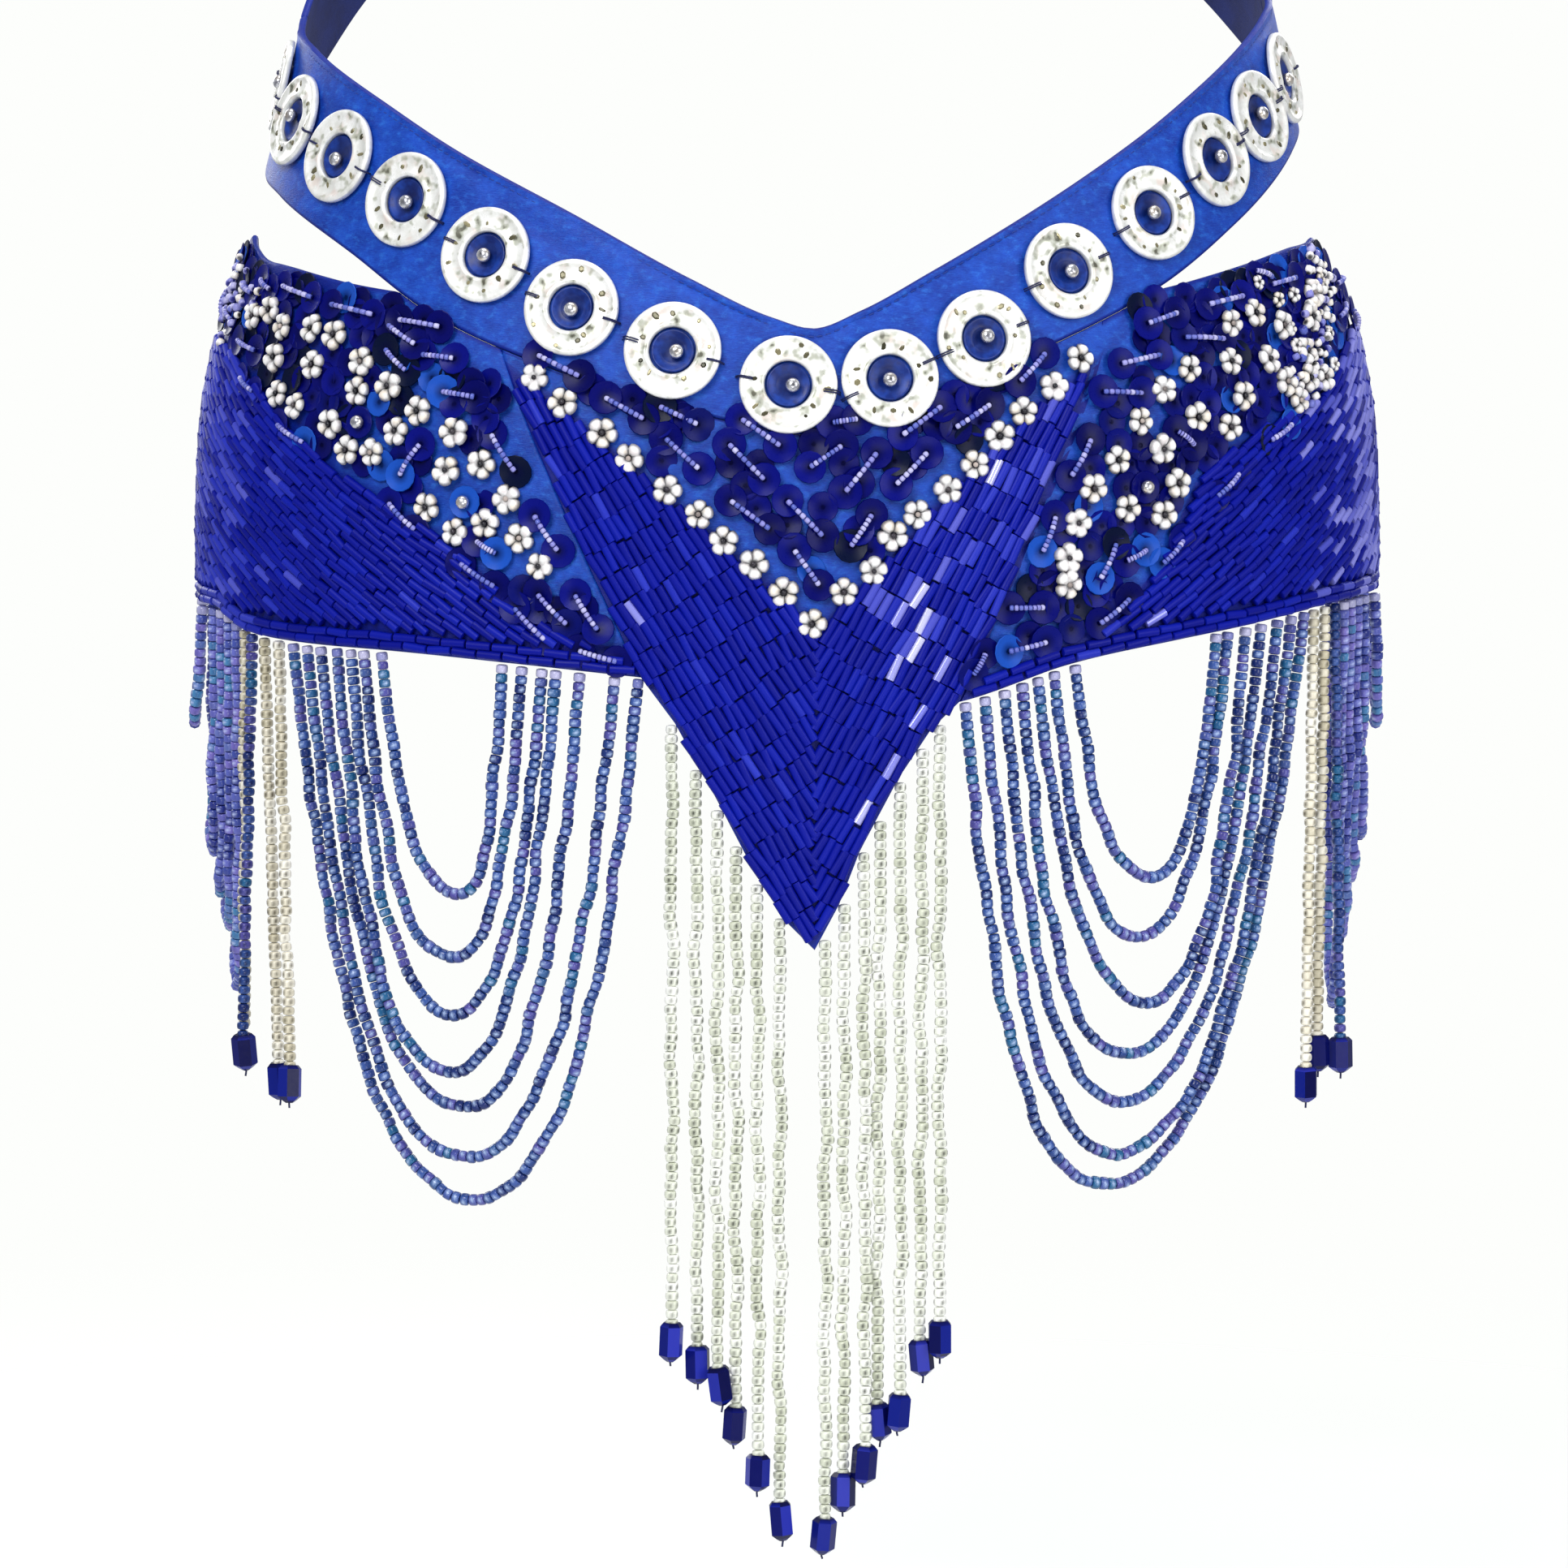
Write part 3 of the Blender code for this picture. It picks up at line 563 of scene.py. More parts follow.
def make_satin():
    """Royal blue satin: floats of weft laid on a slant, mottled, with a painted highlight on ridges and
    painted shade in troughs.
    """
    satin = Finish("satin", Roughness=0.45, Specular_IOR_Level=0.25)
    mottle = satin.noise(satin.cloth_place(), 1.1, 4.0, 0.6)
    fine = satin.noise(satin.cloth_place(20, (3.0, 5.0, 1.0)), 1.0, 4.0, 0.65)
    slub = satin.noise(satin.cloth_place(28, (5.0, 34.0, 1.0)), 1.0, 3.0, 0.6)
    twill = satin.noise(satin.cloth_place(-32, (16.0, 60.0, 1.0)), 1.0, 1.0)
    base = satin.layers(
        satin.mix(mottle.between(0.3, 0.7), (6, 46, 146), (20, 74, 186)),
        (fine.between(0.50, 0.72) * 0.55, (44, 116, 212)),
        ((1 - fine.between(0.30, 0.50)) * 0.45, (4, 34, 136)),
        # painted highlight: paler on the slub's raised ridges
        (slub.between(0.35, 0.75) * 0.4, (36, 98, 204)),
        (twill.between(0.45, 0.7) * 0.22, (4, 34, 128)),
        # painted shade: troughs, rolled edges and the cloth under beads, by the deep value
        (satin.value("deep"), (3, 16, 124)))
    relief = satin.bump(slub, 0.35, 0.0005, Normal=satin.bump(twill, 0.25, 0.0003))
    return satin.feed(Base_Color=base, Roughness=mottle * 0.18 + slub * 0.16 + 0.28, Normal=relief)


def make_lining():
    """Plain-woven lining, darker than the satin: two sets of threads at right angles."""
    lining = Finish("lining", Roughness=0.75)
    across = lining.noise(lining.cloth_place(0, (4.0, 90.0, 1.0)), 1.0, 1.0)
    up = lining.noise(lining.cloth_place(0, (90.0, 4.0, 1.0)), 1.0, 1.0)
    cloudy = lining.noise(lining.cloth_place(), 0.9, 3.0)
    base = lining.layers(
        lining.mix(cloudy.between(0.3, 0.7), (9, 22, 78), (14, 32, 102)),
        ((across + up).between(0.8, 1.25) * 0.35, (24, 48, 128)))
    return lining.feed(Base_Color=base, Normal=lining.bump(across + up, 0.3, 0.0003))


def make_ring_metal():
    """Silver-white: bright rims, and a track clouded with grey-green and rose where the stones sit."""
    metal = Finish("silvered_ring", Metallic=0.25, Roughness=0.3, Coat_Weight=0.2, Coat_Roughness=0.1)
    place = metal.object_place()
    cloudy = metal.noise(place, 260.0, 4.0, 0.65)
    patches = metal.noise(place, 290.0, 1.5, 0.55)
    rosy = metal.noise(place, 190.0, 2.0)
    track = metal.value("track")
    base = metal.layers(
        metal.mix(cloudy.between(0.35, 0.65), (254, 254, 251), (234, 234, 228)),
        (rosy.between(0.5, 0.7) * 0.6 * track, (230, 208, 196)),
        (patches.between(0.50, 0.64) * 0.75 * track, (166, 170, 148)),
        (patches.between(0.63, 0.72) * 0.85 * track, (66, 64, 46)),
        # painted shade on the hole's wall and the ring's underside, by the deep value
        (metal.value("deep"), (120, 132, 160)))
    return metal.feed(
        Base_Color=base, Roughness=cloudy * 0.3 + 0.16, Normal=metal.bump(patches, 0.3, 0.0005))


def make_ring_stone():
    """The small champagne and olive cut stones set round each ring."""
    stone = Finish("ring_stone", Metallic=0.35, Roughness=0.2)
    return stone.feed(Base_Color=stone.mix(stone.value("tint"), (40, 40, 24), (164, 156, 120)))


def make_thread(name, low, high):
    """Sewing thread with its twist."""
    thread = Finish(name, Roughness=0.6)
    twist = thread.noise(thread.object_place(), 1500.0, 1.0)
    return thread.feed(Base_Color=thread.mix(twist, low, high), Normal=thread.bump(twist, 0.4, 0.0002))


def make_cup():
    """The blue cup inside each ring: painted shade makes it navy round its middle, and it has a dull sheen.
    """
    cup = Finish("blue_cup", Roughness=0.36, Specular_IOR_Level=0.3)
    cloudy = cup.noise(cup.object_place(), 420.0, 3.0)
    base = cup.mix(cloudy.between(0.3, 0.7), (8, 36, 112), (20, 60, 152))
    return cup.feed(Base_Color=cup.mix(cup.value("deep"), base, (2, 10, 58)), Roughness=cloudy * 0.3 + 0.22)


def make_silver(name, low, high, rough, metallic):
    """Silvered beads with cream patches, and painted shade in their hollows, more on one side than on the
    other.
    """
    silver = Finish(name, Metallic=metallic, Roughness=rough)
    place = silver.object_place()
    worn = silver.noise(place, 700.0, 3.0)
    patch = silver.noise(place, 210.0, 2.0)
    base = silver.layers(
        silver.mix(worn.between(0.35, 0.7), high, low),
        (patch.between(0.50, 0.66) * 0.55, (242, 226, 200)),
        # painted shade where the deep value is set, broken up in patches
        (silver.value("deep") * (patch * 1.6).between(0.35, 0.85), (14, 14, 26)))
    return silver.feed(Base_Color=base, Roughness=worn * 0.3 + (rough - 0.1))


def make_glass(name, rough, shadow, *colours, metallic=0.0, coat=0.0, gloss=0.5, lit=None):
    """Coloured glass beads: each bead's tint picks a colour along a short run of them.

    deep is the share of painted shadow, and glint the share of painted light that shows through the bead's
    middle.
    """
    glass = Finish(name, Metallic=metallic, Roughness=rough, Coat_Weight=coat, Coat_Roughness=0.08,
                   Specular_IOR_Level=gloss)
    tint = glass.value("tint")
    starts = np.linspace(0, 1, len(colours)).tolist()
    base = glass.layers(colours[0], *[
        (tint.between(low, high), colour) for low, high, colour in zip(starts, starts[1:], colours[1:])])
    streak = glass.noise(glass.object_place(), 900.0, 2.0)
    base = glass.mix(glass.value("deep"), base, shadow)
    if lit:
        base = glass.mix(glass.value("glint"), base, lit)
    return glass.feed(Base_Color=base, Roughness=streak * 0.2 + (rough - 0.1))


SATIN = make_satin()
LINING = make_lining()
RING_METAL = make_ring_metal()
RING_STONE = make_ring_stone()
THREAD = make_thread("navy_thread", (8, 12, 50), (22, 30, 92))
STITCHING = make_thread("blue_thread", (12, 40, 124), (24, 62, 158))
CUP = make_cup()
SILVER_BEAD = make_silver("silver_bead", (150, 150, 160), (236, 236, 240), 0.2, 0.85)
FLOWER_SILVER = make_silver("silver_flowers", (238, 230, 230), (255, 255, 254), 0.32, 0.08)
HEART_GLASS = make_glass("flower_hearts", 0.3, (6, 6, 16), (10, 10, 22), (40, 34, 44), (190, 176, 168))
# Its palest tints are a painted sheen, on bugle beads toward the hips.
BUGLE_GLASS = make_glass("beaded_cloth", 0.42, (3, 12, 112), (2, 12, 128), (3, 16, 142), (7, 24, 154),
                         (40, 52, 178), (132, 134, 216), gloss=0.14)
# Pale glass for the painted highlights on a few bugle beads.
LIT_GLASS = make_glass("lit_bugle", 0.15, (40, 34, 120), (120, 124, 226), (216, 216, 252),
                       metallic=0.2, coat=0.3)
SEQUIN_NAVY = make_glass("sequins", 0.3, (1, 2, 50), (1, 3, 78), (2, 5, 94), (5, 12, 116), (2, 12, 44),
                         (26, 78, 180), gloss=0.1)
SEED_GLASS = make_glass("seed_beads", 0.25, (24, 26, 120), (84, 98, 186), (136, 136, 210),
                        (190, 188, 232), gloss=0.4)
PEARL_GLASS = make_glass("pearl_beads", 0.25, (60, 62, 124), (104, 112, 182), (190, 188, 220), coat=0.2)
LOOP_GLASS = make_glass("blue_beads", 0.22, (12, 22, 72), (22, 42, 106), (36, 66, 132), (58, 88, 158),
                        (82, 78, 156), (34, 96, 142), gloss=0.38, lit=(166, 188, 224))
# The blue beads' glass painted lighter, with a brighter glint: painted light for the loops at the hips.
HIP_LIT_GLASS = make_glass("lit_hip_blue_beads", 0.22, (22, 30, 104), (44, 56, 140), (70, 86, 170),
                       (104, 112, 198), (124, 112, 198), (72, 132, 182), gloss=0.38, lit=(186, 198, 240))
CLEAR_GLASS = make_glass("clear_beads", 0.2, (36, 38, 28), (210, 214, 194), (233, 236, 221),
                         (251, 252, 245), gloss=0.4)
CREAM_GLASS = make_glass("cream_beads", 0.2, (62, 54, 34), (204, 196, 170), (230, 223, 202),
                         (250, 246, 232), gloss=0.4)
DROP_GLASS = make_glass("drop_beads", 0.2, (3, 4, 36), (5, 8, 62), (9, 16, 98), (14, 28, 124),
                        (40, 48, 162), gloss=0.14)


# ---------------- cloth

ROLL = 0.8              # how far the cloth's edge is rounded
BEND = 0.3              # and how deep its first bend is
SHADE_AT_EDGE = 0.75
FOLD_WIDTH = 2.3        # the turned-over edge of the strap
STITCH_PITCH = 2.6
STITCH_INSET = 3.4      # from a lapped end's upper and lower edge


def creases(table, around, height):
    """Sum of soft folds: each is a ridge or trough with a lower fold of the other sign on both sides."""
    total = np.zeros(np.broadcast(around, height).shape)
    for at, level, angle, length, width, rise in table:
        sin, cos = math.sin(math.radians(angle)), math.cos(math.radians(angle))
        along = (around - at) * cos + (height - level) * sin
        across = ((height - level) * cos - (around - at) * sin - 0.04 * along ** 2 / length) / width
        total += rise * (1 - 0.7 * across ** 2) * np.exp(-across ** 2 - (along / length) ** 2)
    return total


def near_ends(start, end, step):
    """Even stations from start to end, with close ones inside each end, where the cloth is rounded."""
    close = np.array([0, 0.25, 0.8, 1.5])
    inner = np.linspace(start + 2.4, end - 2.4, round((end - start) / step))
    return np.concatenate([start + close, inner, end - close[::-1]])


def cloth(name, around, height, raised, lift=0.0, dark=None):
    """A closed shell of cloth: outer face, rounded edges and lined inner face, as one section.

    around and height are grids of the outer face, with a row for each level from the lower edge up.
    raised is its relief in millimetres, lift carries the whole cloth outwards, and dark is the
    share of painted shadow under beads; without it the relief's troughs get painted shade, and the
    rounded edges always do. The section is carried on round both edges and is closed at the ends.
    """
    rows, columns = around.shape
    place = np.stack([around, height], axis=-1)

    def inset(edge, following, distance):
        return place[edge] + unit(place[following] - place[edge]) * distance

    upper = [inset(-1, -2, 0.25), place[-1], inset(-1, -2, 0.25)]
    lower = [inset(0, 1, 0.25), place[0], inset(0, 1, 0.25)]
    outer = [inset(0, 1, ROLL), *place[1:-1], inset(-1, -2, ROLL)]
    section = np.stack([*outer, *upper, *outer[::-1], *lower])
    count = len(section)
    inner = rows + 3                # the first level of the inner face
    half = -WALL / 2
    edge_out = np.array([-BEND, half, BEND - WALL])[:, None]
    out = np.full(section.shape[:2], -WALL)
    out[:rows] = raised
    out[rows:inner] = edge_out
    out[inner + rows:] = edge_out[::-1]
    step = np.linalg.norm(np.diff(place[rows // 2], axis=0), axis=-1)
    from_start = np.concatenate([[0], np.cumsum(step)])
    from_end = np.minimum(from_start, from_start[-1] - from_start)
    round_end = np.sqrt(np.clip(1 - (1 - np.clip(from_end / ROLL, 0, 1)) ** 2, 0.06, 1))
    points = skin(section[..., 0], section[..., 1], half + (out - half) * round_end + lift)
    index = np.arange(count * columns).reshape(count, columns)
    faces = [grid_quads(count, columns, wrap_rows=True)]
    for column, flip in ((0, 1), (-1, -1)):
        front, back = index[:rows, column], index[inner:inner + rows, column][::-1]
        ladder = np.stack([front[:-1], back[:-1], back[1:], front[1:]], axis=-1)
        rolls = index[[[*range(rows - 1, rows + 4)], [*range(inner + rows - 1, count), 0]], column]
        faces += [ladder[:, ::-flip], rolls[:, ::flip]]
    picks = np.zeros(sum(map(len, faces)), dtype=int)
    picks[(inner - 1) * (columns - 1):(inner + rows) * (columns - 1)] = 1
    deep = np.zeros(section.shape[:2])
    # Painted shade: the given shadow under beads, else the relief's troughs, and both rounded edges.
    deep[:rows] = np.clip(-raised * 0.5, 0, 0.6) if dark is None else dark
    deep[0] = deep[rows - 1:inner] = deep[inner + rows:] = SHADE_AT_EDGE
    piece = new_piece(f"{name}_satin", points.reshape(-1, 3), faces, (SATIN, LINING), picks,
                      {"deep": deep}, section.reshape(-1, 2) / 10, 45)
    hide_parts(name)


def turned_edge(height, upper):
    """The strap's turned-over upper edge: a low ridge, then the groove of its stitching."""
    below = upper - height
    ridge = 0.35 * np.clip((FOLD_WIDTH - below) / 0.7, 0, 1)
    return ridge - 0.30 * np.exp(-((below - FOLD_WIDTH - 0.2) / 0.45) ** 2)


def strip_grid(around, table, at, rows):
    """Levels of a strip, close together at both edges."""
    low, high = through(table, 1, at), through(table, 2, at)
    share = np.concatenate([[0], np.linspace(0.03, 0.90, rows), [0.93, 0.955, 0.98, 1]])[:, None]
    height = low + (high - low) * share
    return np.broadcast_to(around, height.shape), height, high


def make_strap_front():
    around = near_ends(-SIDE + SEAM / 2, SIDE - SEAM / 2, 2.0)
    around[np.abs(around).argmin()] = 0.0
    grid, height, high = strip_grid(around, BAND, around, 22)
    raised = creases(STRAP_CREASES, grid, height) + turned_edge(height, high)
    cloth("strap_front", grid, height, raised)


def make_backs(name, table, folds, rows):
    """Left and right back pieces. The right one's end climbs over the left one's."""
    length = near_ends(SIDE + SEAM / 2, BACK + LAP, 2.2)
    for side, sign, lift in (("left", 1, length * 0), ("right", -1, climb(length))):
        order = np.argsort(sign * length)
        around, at = (sign * length)[order], past_back(length, sign)[order]
        grid, height, high = strip_grid(around, table, at, rows)
        fade = np.clip((BACK - LAP - 6 - np.abs(grid)) / 25, 0, 1) * np.clip((np.abs(grid) - SIDE) / 10, 0, 1)
        raised = creases(folds, np.broadcast_to(at, grid.shape), height) * fade
        if table is BAND:
            raised = raised + turned_edge(height, high)
        cloth(f"{name}_{side}", grid, height, raised, lift[order])


def make_panel(name, rails, rows):
    """A panel over three rails: its lower edge, the border of its bugle beads, and its top."""
    low, edge, top = np.array(rails)
    for end in (0, -1):
        way = (edge[1, end] - low[1, end]) / (top[1, end] - low[1, end])
        edge[0, end] = low[0, end] + (top[0, end] - low[0, end]) * way
    levels = np.concatenate([
        [0, 0.03], np.linspace(0.06, 1, rows[0]), 1 + np.linspace(0, 0.96, rows[1])[1:], [1.98, 2]])[:, None]
    grid, height = np.where(levels < 1, low[:, None] + (edge - low)[:, None] * levels,
                            edge[:, None] + (top - edge)[:, None] * (levels - 1))
    if grid[0, 0] > grid[0, -1]:
        grid, height = grid[:, ::-1], height[:, ::-1]
    # Painted shadow under the bugle beads, and toward the hips under the sequins as well.
    dark = np.maximum(np.clip((1.03 - levels) / 0.06, 0, 1) * 0.95,
                      np.clip((np.abs(grid) - 128) / 30, 0, 1) * 0.8)
    raised = 0.12 * np.sin(grid * 0.31 + height * 0.17) * np.sin(height * 0.27 - grid * 0.11)
    cloth(name, grid, height, raised - 0.12, dark=dark)


def make_panels():
    """The pointed front panel and the two side panels, of satin that the beads are sewn to."""
    share = near_ends(0.0, 150.0, 2.0) / 150.0
    tip = -POINT[0][0] / (POINT[-1][0] - POINT[0][0])
    share[np.abs(share - tip).argmin()] = tip
    low, edge = (between(table[0][0], table[-1][0], share) for table in (POINT, CHEVRON))
    top = between(*POINT_TOP, share)
    rails = ((low, point_hem(low)), (edge, chevron(edge)), (top, strap_low(top) - SEAM))
    make_panel("front_panel", rails, (34, 14))
    share = near_ends(0.0, 170.0, 2.0) / 170.0
    for name, corner, side in (("side_panel_right", 0, -SIDE), ("side_panel_left", -1, SIDE)):
        low, top = between(POINT[corner][0], side, share), between(POINT_TOP[corner], side, share)
        edge = low + (top - low) * (0.08 + 0.10 * share)
        rails = ((low, hem(low)), (edge, side_border(edge)),
                 (top, np.minimum(belt_top(top), strap_low(top) - SEAM)))
        make_panel(name, rails, (22, 22))


def make_stitches():
    """The strap's stitching below its turned edge, and two rows across each lapped end."""
    runs = []
    for start, end, signs in ((-SIDE + 2, SIDE - 2, (1,)), (SIDE + 2, BACK + LAP - 3, (1, -1))):
        length = np.arange(start, end, STITCH_PITCH)
        for sign in signs:
            at = past_back(length, sign)
            steep = np.degrees(np.arctan(slope(strap_top, at, 0.5) * sign))
            run = np.stack([sign * length, strap_top(at) - FOLD_WIDTH - 0.2, steep,
                            climb(length) * (sign < 0) - 0.12])
            runs.append(run[:, (sign < 0) | (length <= BACK - LAP - 4)])
    for table in (BAND, BELT):
        for inward in (STITCH_PITCH, 2 * STITCH_PITCH):
            length = BACK + LAP - inward
            low, high = (through(table, column, 2 * BACK - length) for column in (1, 2))
            height = np.arange(low + STITCH_INSET, high - STITCH_INSET, STITCH_PITCH)
            runs.append(np.stack(np.broadcast_arrays(-length, height, 90.0, WALL + LAP_GAP + 0.05)))
    around, height, angle, out = np.concatenate(runs, axis=1)
    shape = barrel(5, (0.11, 0.85), (0.19, 0.6), (0.21, 0))
    scatter("stitches", shape, lay(around, height, angle, out + 0.05), (STITCHING,))


# ---------------- rings

RING_PROFILE = (        # radius, height: from the hole's lower rim, outside, and back over the top
    (6.9, 0.0), (13.7, 0.0), (14.0, 0.35), (14.0, 1.55), (13.75, 1.95), (13.2, 2.2), (12.5, 2.15),
    (12.1, 1.85), (10.3, 1.75), (8.6, 1.85), (8.2, 2.15), (7.7, 2.2), (7.15, 1.95), (6.8, 1.5),
    (6.8, 0.3),
)
THREAD_ROUTE = (        # out from the ring's centre, height: over its outer rim into the track
    (15.1, -0.6), (14.7, 0.3), (14.4, 1.5), (13.9, 2.4), (13.0, 2.75), (12.2, 2.6), (11.3, 2.35),
    (10.6, 2.2), (10.2, 1.6),
)
STONE_PROFILE = ((1.1, -0.2), (1.25, 0.15), (0.7, 0.55))
CUP_PROFILE = ((6.0, 0.5), (6.25, 0.9), (6.2, 1.35), (5.6, 1.25), (4.6, 0.75), (3.2, 0.45), (1.2, 0.35))
RING_STEPS = 56
STONES = 9              # on each ring
STONE_TRACK = 8.4, 12.0  # radii between which the stones sit


def make_rings():
    """Fifteen flat rings: one turned section, with a sunk track for the stones between two rims."""
    around, height = np.array(RINGS, dtype=float).T
    count = len(RINGS)
    steep = np.degrees(np.arctan(slope(strap_low, around, 2)))
    centres, axes = lay(around, height, steep, 0.5, *chance.uniform(-2, 2, (2, count)))
    radius, level = np.array(RING_PROFILE).T[..., None]
    angle = circle(RING_STEPS)
    points = round_about(radius, angle, level)
    points[6:12, :, 2] += 0.10 * np.sin(angle * 7 + 1.0) + 0.08 * np.sin(angle * 11)    # dents in the track
    shape = points.reshape(-1, 3), [grid_quads(*points.shape[:2], wrap_rows=True, wrap_columns=True)]
    # Painted shade on the hole's wall and the ring's underside.
    deep = np.where((radius < 7.0) | (level < 0.4), 0.35, 0.0)
    track = np.interp(radius, (7.2, 7.8, 12.2, 13.2), (0.5, 1.0, 1.0, 0.25)) * (level > 1)
    values = {"deep": np.repeat(deep, RING_STEPS), "track": np.repeat(track, RING_STEPS)}
    rings = scatter("rings", shape, (centres, axes), (RING_METAL,), values=values, sharp=50)
    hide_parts(*[f"ring_{number:02d}" for number in range(1, count + 1)])
    make_ring_stones(centres, axes)
    make_ring_threads(centres, axes)
    make_cups(centres, axes)


def on_ring(spots, centres, axes):
    """Spots in each ring's own millimetres, as places in metres."""
    return centres[:, None] + np.einsum("cek,ckj->cej", spots * MM, axes)


def make_ring_stones(centres, axes):
    """Small cut stones in each ring's track: low pyramids with a flat top, no two quite alike."""
    count = len(centres)
    turn = (np.arange(STONES) + chance.uniform(-0.45, 0.45, (count, STONES))) / STONES * 2 * math.pi + 0.2
    places = on_ring(round_about(chance.uniform(*STONE_TRACK, turn.shape), turn, 1.75), centres, axes)
    x, y = swing(axes[:, None, 0], axes[:, None, 1], turn + chance.uniform(-0.5, 0.5, turn.shape))
    stone_axes = np.stack([x, y, np.broadcast_to(axes[:, None, 2], x.shape)], axis=-2).reshape(-1, 3, 3)
    sizes = chance.uniform(0.45, 1.2, turn.size), chance.uniform(0.35, 0.8, turn.size), 0.7
    shape = turned(STONE_PROFILE, 6)
    scatter("ring_stones", shape, (places.reshape(-1, 3), stone_axes), (RING_STONE,),
            sizes, values={"tint": chance.uniform(0, 1, (turn.size, 1))}, sharp=0)


def make_ring_threads(centres, axes):
    """Two threads at each side of a ring: up from the satin, over the rim and down beside the stones."""
    away, level = np.array(THREAD_ROUTE).T
    paths = []
    for side in (-1, 1):
        for shift in (-0.25, 0.25):
            wander = chance.uniform(-0.25, 0.25, (len(centres), 1)) * away / 15
            route = np.stack(np.broadcast_arrays(side * away, shift + wander, level), axis=-1)
            paths.append(on_ring(route, centres, axes))
    points, faces = tubes(np.concatenate(paths), 0.22)
    new_piece("ring_threads", points, faces, (THREAD,))


def make_cups(centres, axes):
    """A cupped blue disc in each ring's hole, and a silver bead sewn a little off its centre."""
    shape = turned(CUP_PROFILE, 28)
    # Painted shade: darkest round the middle, under the bead, and a little darker the higher the surface.
    near = np.clip((4.4 - from_axis(shape)) / 2.4, 0, 1) * 0.8
    deep = np.clip(near + np.clip(shape[0][:, 1] / 5.5, 0, 1) * 0.45, 0, 1)
    scatter("ring_cups", shape, (centres - axes[:, 2] * 0.35 * MM, axes), (CUP,),
            values={"deep": deep})
    turn = chance.uniform(0, 2 * math.pi, len(centres))
    off = swing(axes[:, 0], axes[:, 1], turn)[0] * chance.uniform(0.2, 1.5, (len(centres), 1))
    bead = ball(2.1, 1.75, 9, 20)
    level = bead[0][:, 2]
    # Painted shade: dark at the hole on top and over the lower half.
    deep = np.clip(1 - from_axis(bead) / 0.9, 0, 1) * (level > 1)
    deep = np.maximum(deep, np.clip(-level / 1.6, 0, 1) * 0.8)
    scatter("ring_beads", bead, (centres + (off + axes[:, 2] * 2.1) * MM, axes), (SILVER_BEAD,),
            values={"deep": deep})


# ---------------- bead work on the cloth

BUGLE_LENGTH = 7.9      # from one bead of a row to the next
BUGLE_GAP = 0.05        # between the ends of two beads in a row
BUGLE_ROW = 2.42        # from row to row
BUGLE_RADIUS = 1.36
BUGLE_SHORTEST = 2.6
BUGLE_SLANTS = ((-1, -58), (1, 61))     # side of the front panel, degrees from level
SIDE_SLANT = 33
HEM_BUGLE = 7.3         # length of the beads that lie level along the hem
HEM_START = {-1: 55, 1: 49}     # where they start on each side, and the next row 3.3 further out
HEM_ROWS_TOP = 6.6      # where the slanted ones start, above the hem
FLOWER_RADIUS = 4.55
STAR_SIZE = 0.55
LOOSE_GAP = 2.7         # between two loose beads
SEQUIN_PITCH = 6.6, 6.0, 6.2    # along and up the lattice, and along the upper edges
SEQUIN_GAP = 4.2        # from one that is sewn under a seed-bead row
SEQUIN_PROFILE = ((0.90, 0.02), (1.0, 0.10), (0.96, 0.16), (0.62, 0.07), (0.16, 0.02))
SEED_RADIUS = 0.80
SEEDS = 8               # beads in a seed-bead row
FLOWERS = np.array(FRONT_FLOWERS + RIGHT_FLOWERS + LEFT_FLOWERS, dtype=float)
SEED_ROWS = np.array(FRONT_ROWS + RIGHT_ROWS + LEFT_ROWS, dtype=float)


def from_axis(shape, axis=2):
    """How far each point of a shape lies from one of the axes."""
    return np.linalg.norm(np.delete(shape[0], axis, axis=1), axis=1)


def gaps(around, height, spots):
    """From every place to every spot."""
    return np.hypot(around[:, None] - spots[:, 0], height[:, None] - spots[:, 1])


def flower_shape():
    """A five-petal bead: its rim swings out and in, and each petal is domed round a deep middle."""
    petals, rings = 5, 5
    turn = circle(petals * 6)
    petal = np.abs(np.cos(turn * petals / 2)) ** 0.5
    share = np.linspace(0.22, 1.0, rings)[:, None]
    level = 0.55 + np.sin(np.clip((share - 0.15) / 0.85, 0, 1) * math.pi * 0.86) * (0.35 + 0.95 * petal)
    level[-1] = 0.15
    radius = share * (0.79 + 0.21 * petal) * FLOWER_RADIUS
    points = round_about(radius, turn, level)[::-1].reshape(-1, 3)
    # Painted shade: the middle, the gaps between petals and the lowered rim.
    hollow = 1 - petal * np.clip((share - 0.22) / 0.25, 0, 1)
    hollow[-1] = np.maximum(hollow[-1], 0.55)
    shape = np.concatenate([points, [[0, 0, 0.1], [0, 0, 0.55]]]), tube_faces(rings, len(turn))
    return shape, np.concatenate([hollow[::-1].ravel(), [1.0, 1.0]])


def make_flowers():
    """Flower beads in rows and clusters, each turned and leaned its own way, with a bead in its middle."""
    around, height = np.concatenate([FLOWERS, SMALL_STARS]).T
    count = len(around)
    size = chance.uniform(0.93, 1.05, count)
    size[-len(SMALL_STARS):] *= STAR_SIZE
    centres, axes = lay(around, height, chance.uniform(0, 72, count), 1.6, *chance.uniform(-9, 9, (2, count)))
    shape, hollow = flower_shape()
    # The deep value is painted shade in the flower's middle, between its petals and along its rim.
    scatter("flowers", shape, (centres, axes), (FLOWER_SILVER,), (size,) * 3,
            values={"deep": np.clip(hollow * 1.1 - 0.1, 0, 1)})
    scatter("flower_hearts", ball(0.8, 0.7, 6, 10, 0.4, 0.8), (centres + axes[:, 2] * 0.3 * MM, axes),
            (HEART_GLASS,), (size,) * 3, values={"tint": chance.beta(0.7, 1.3, (count, 1))})


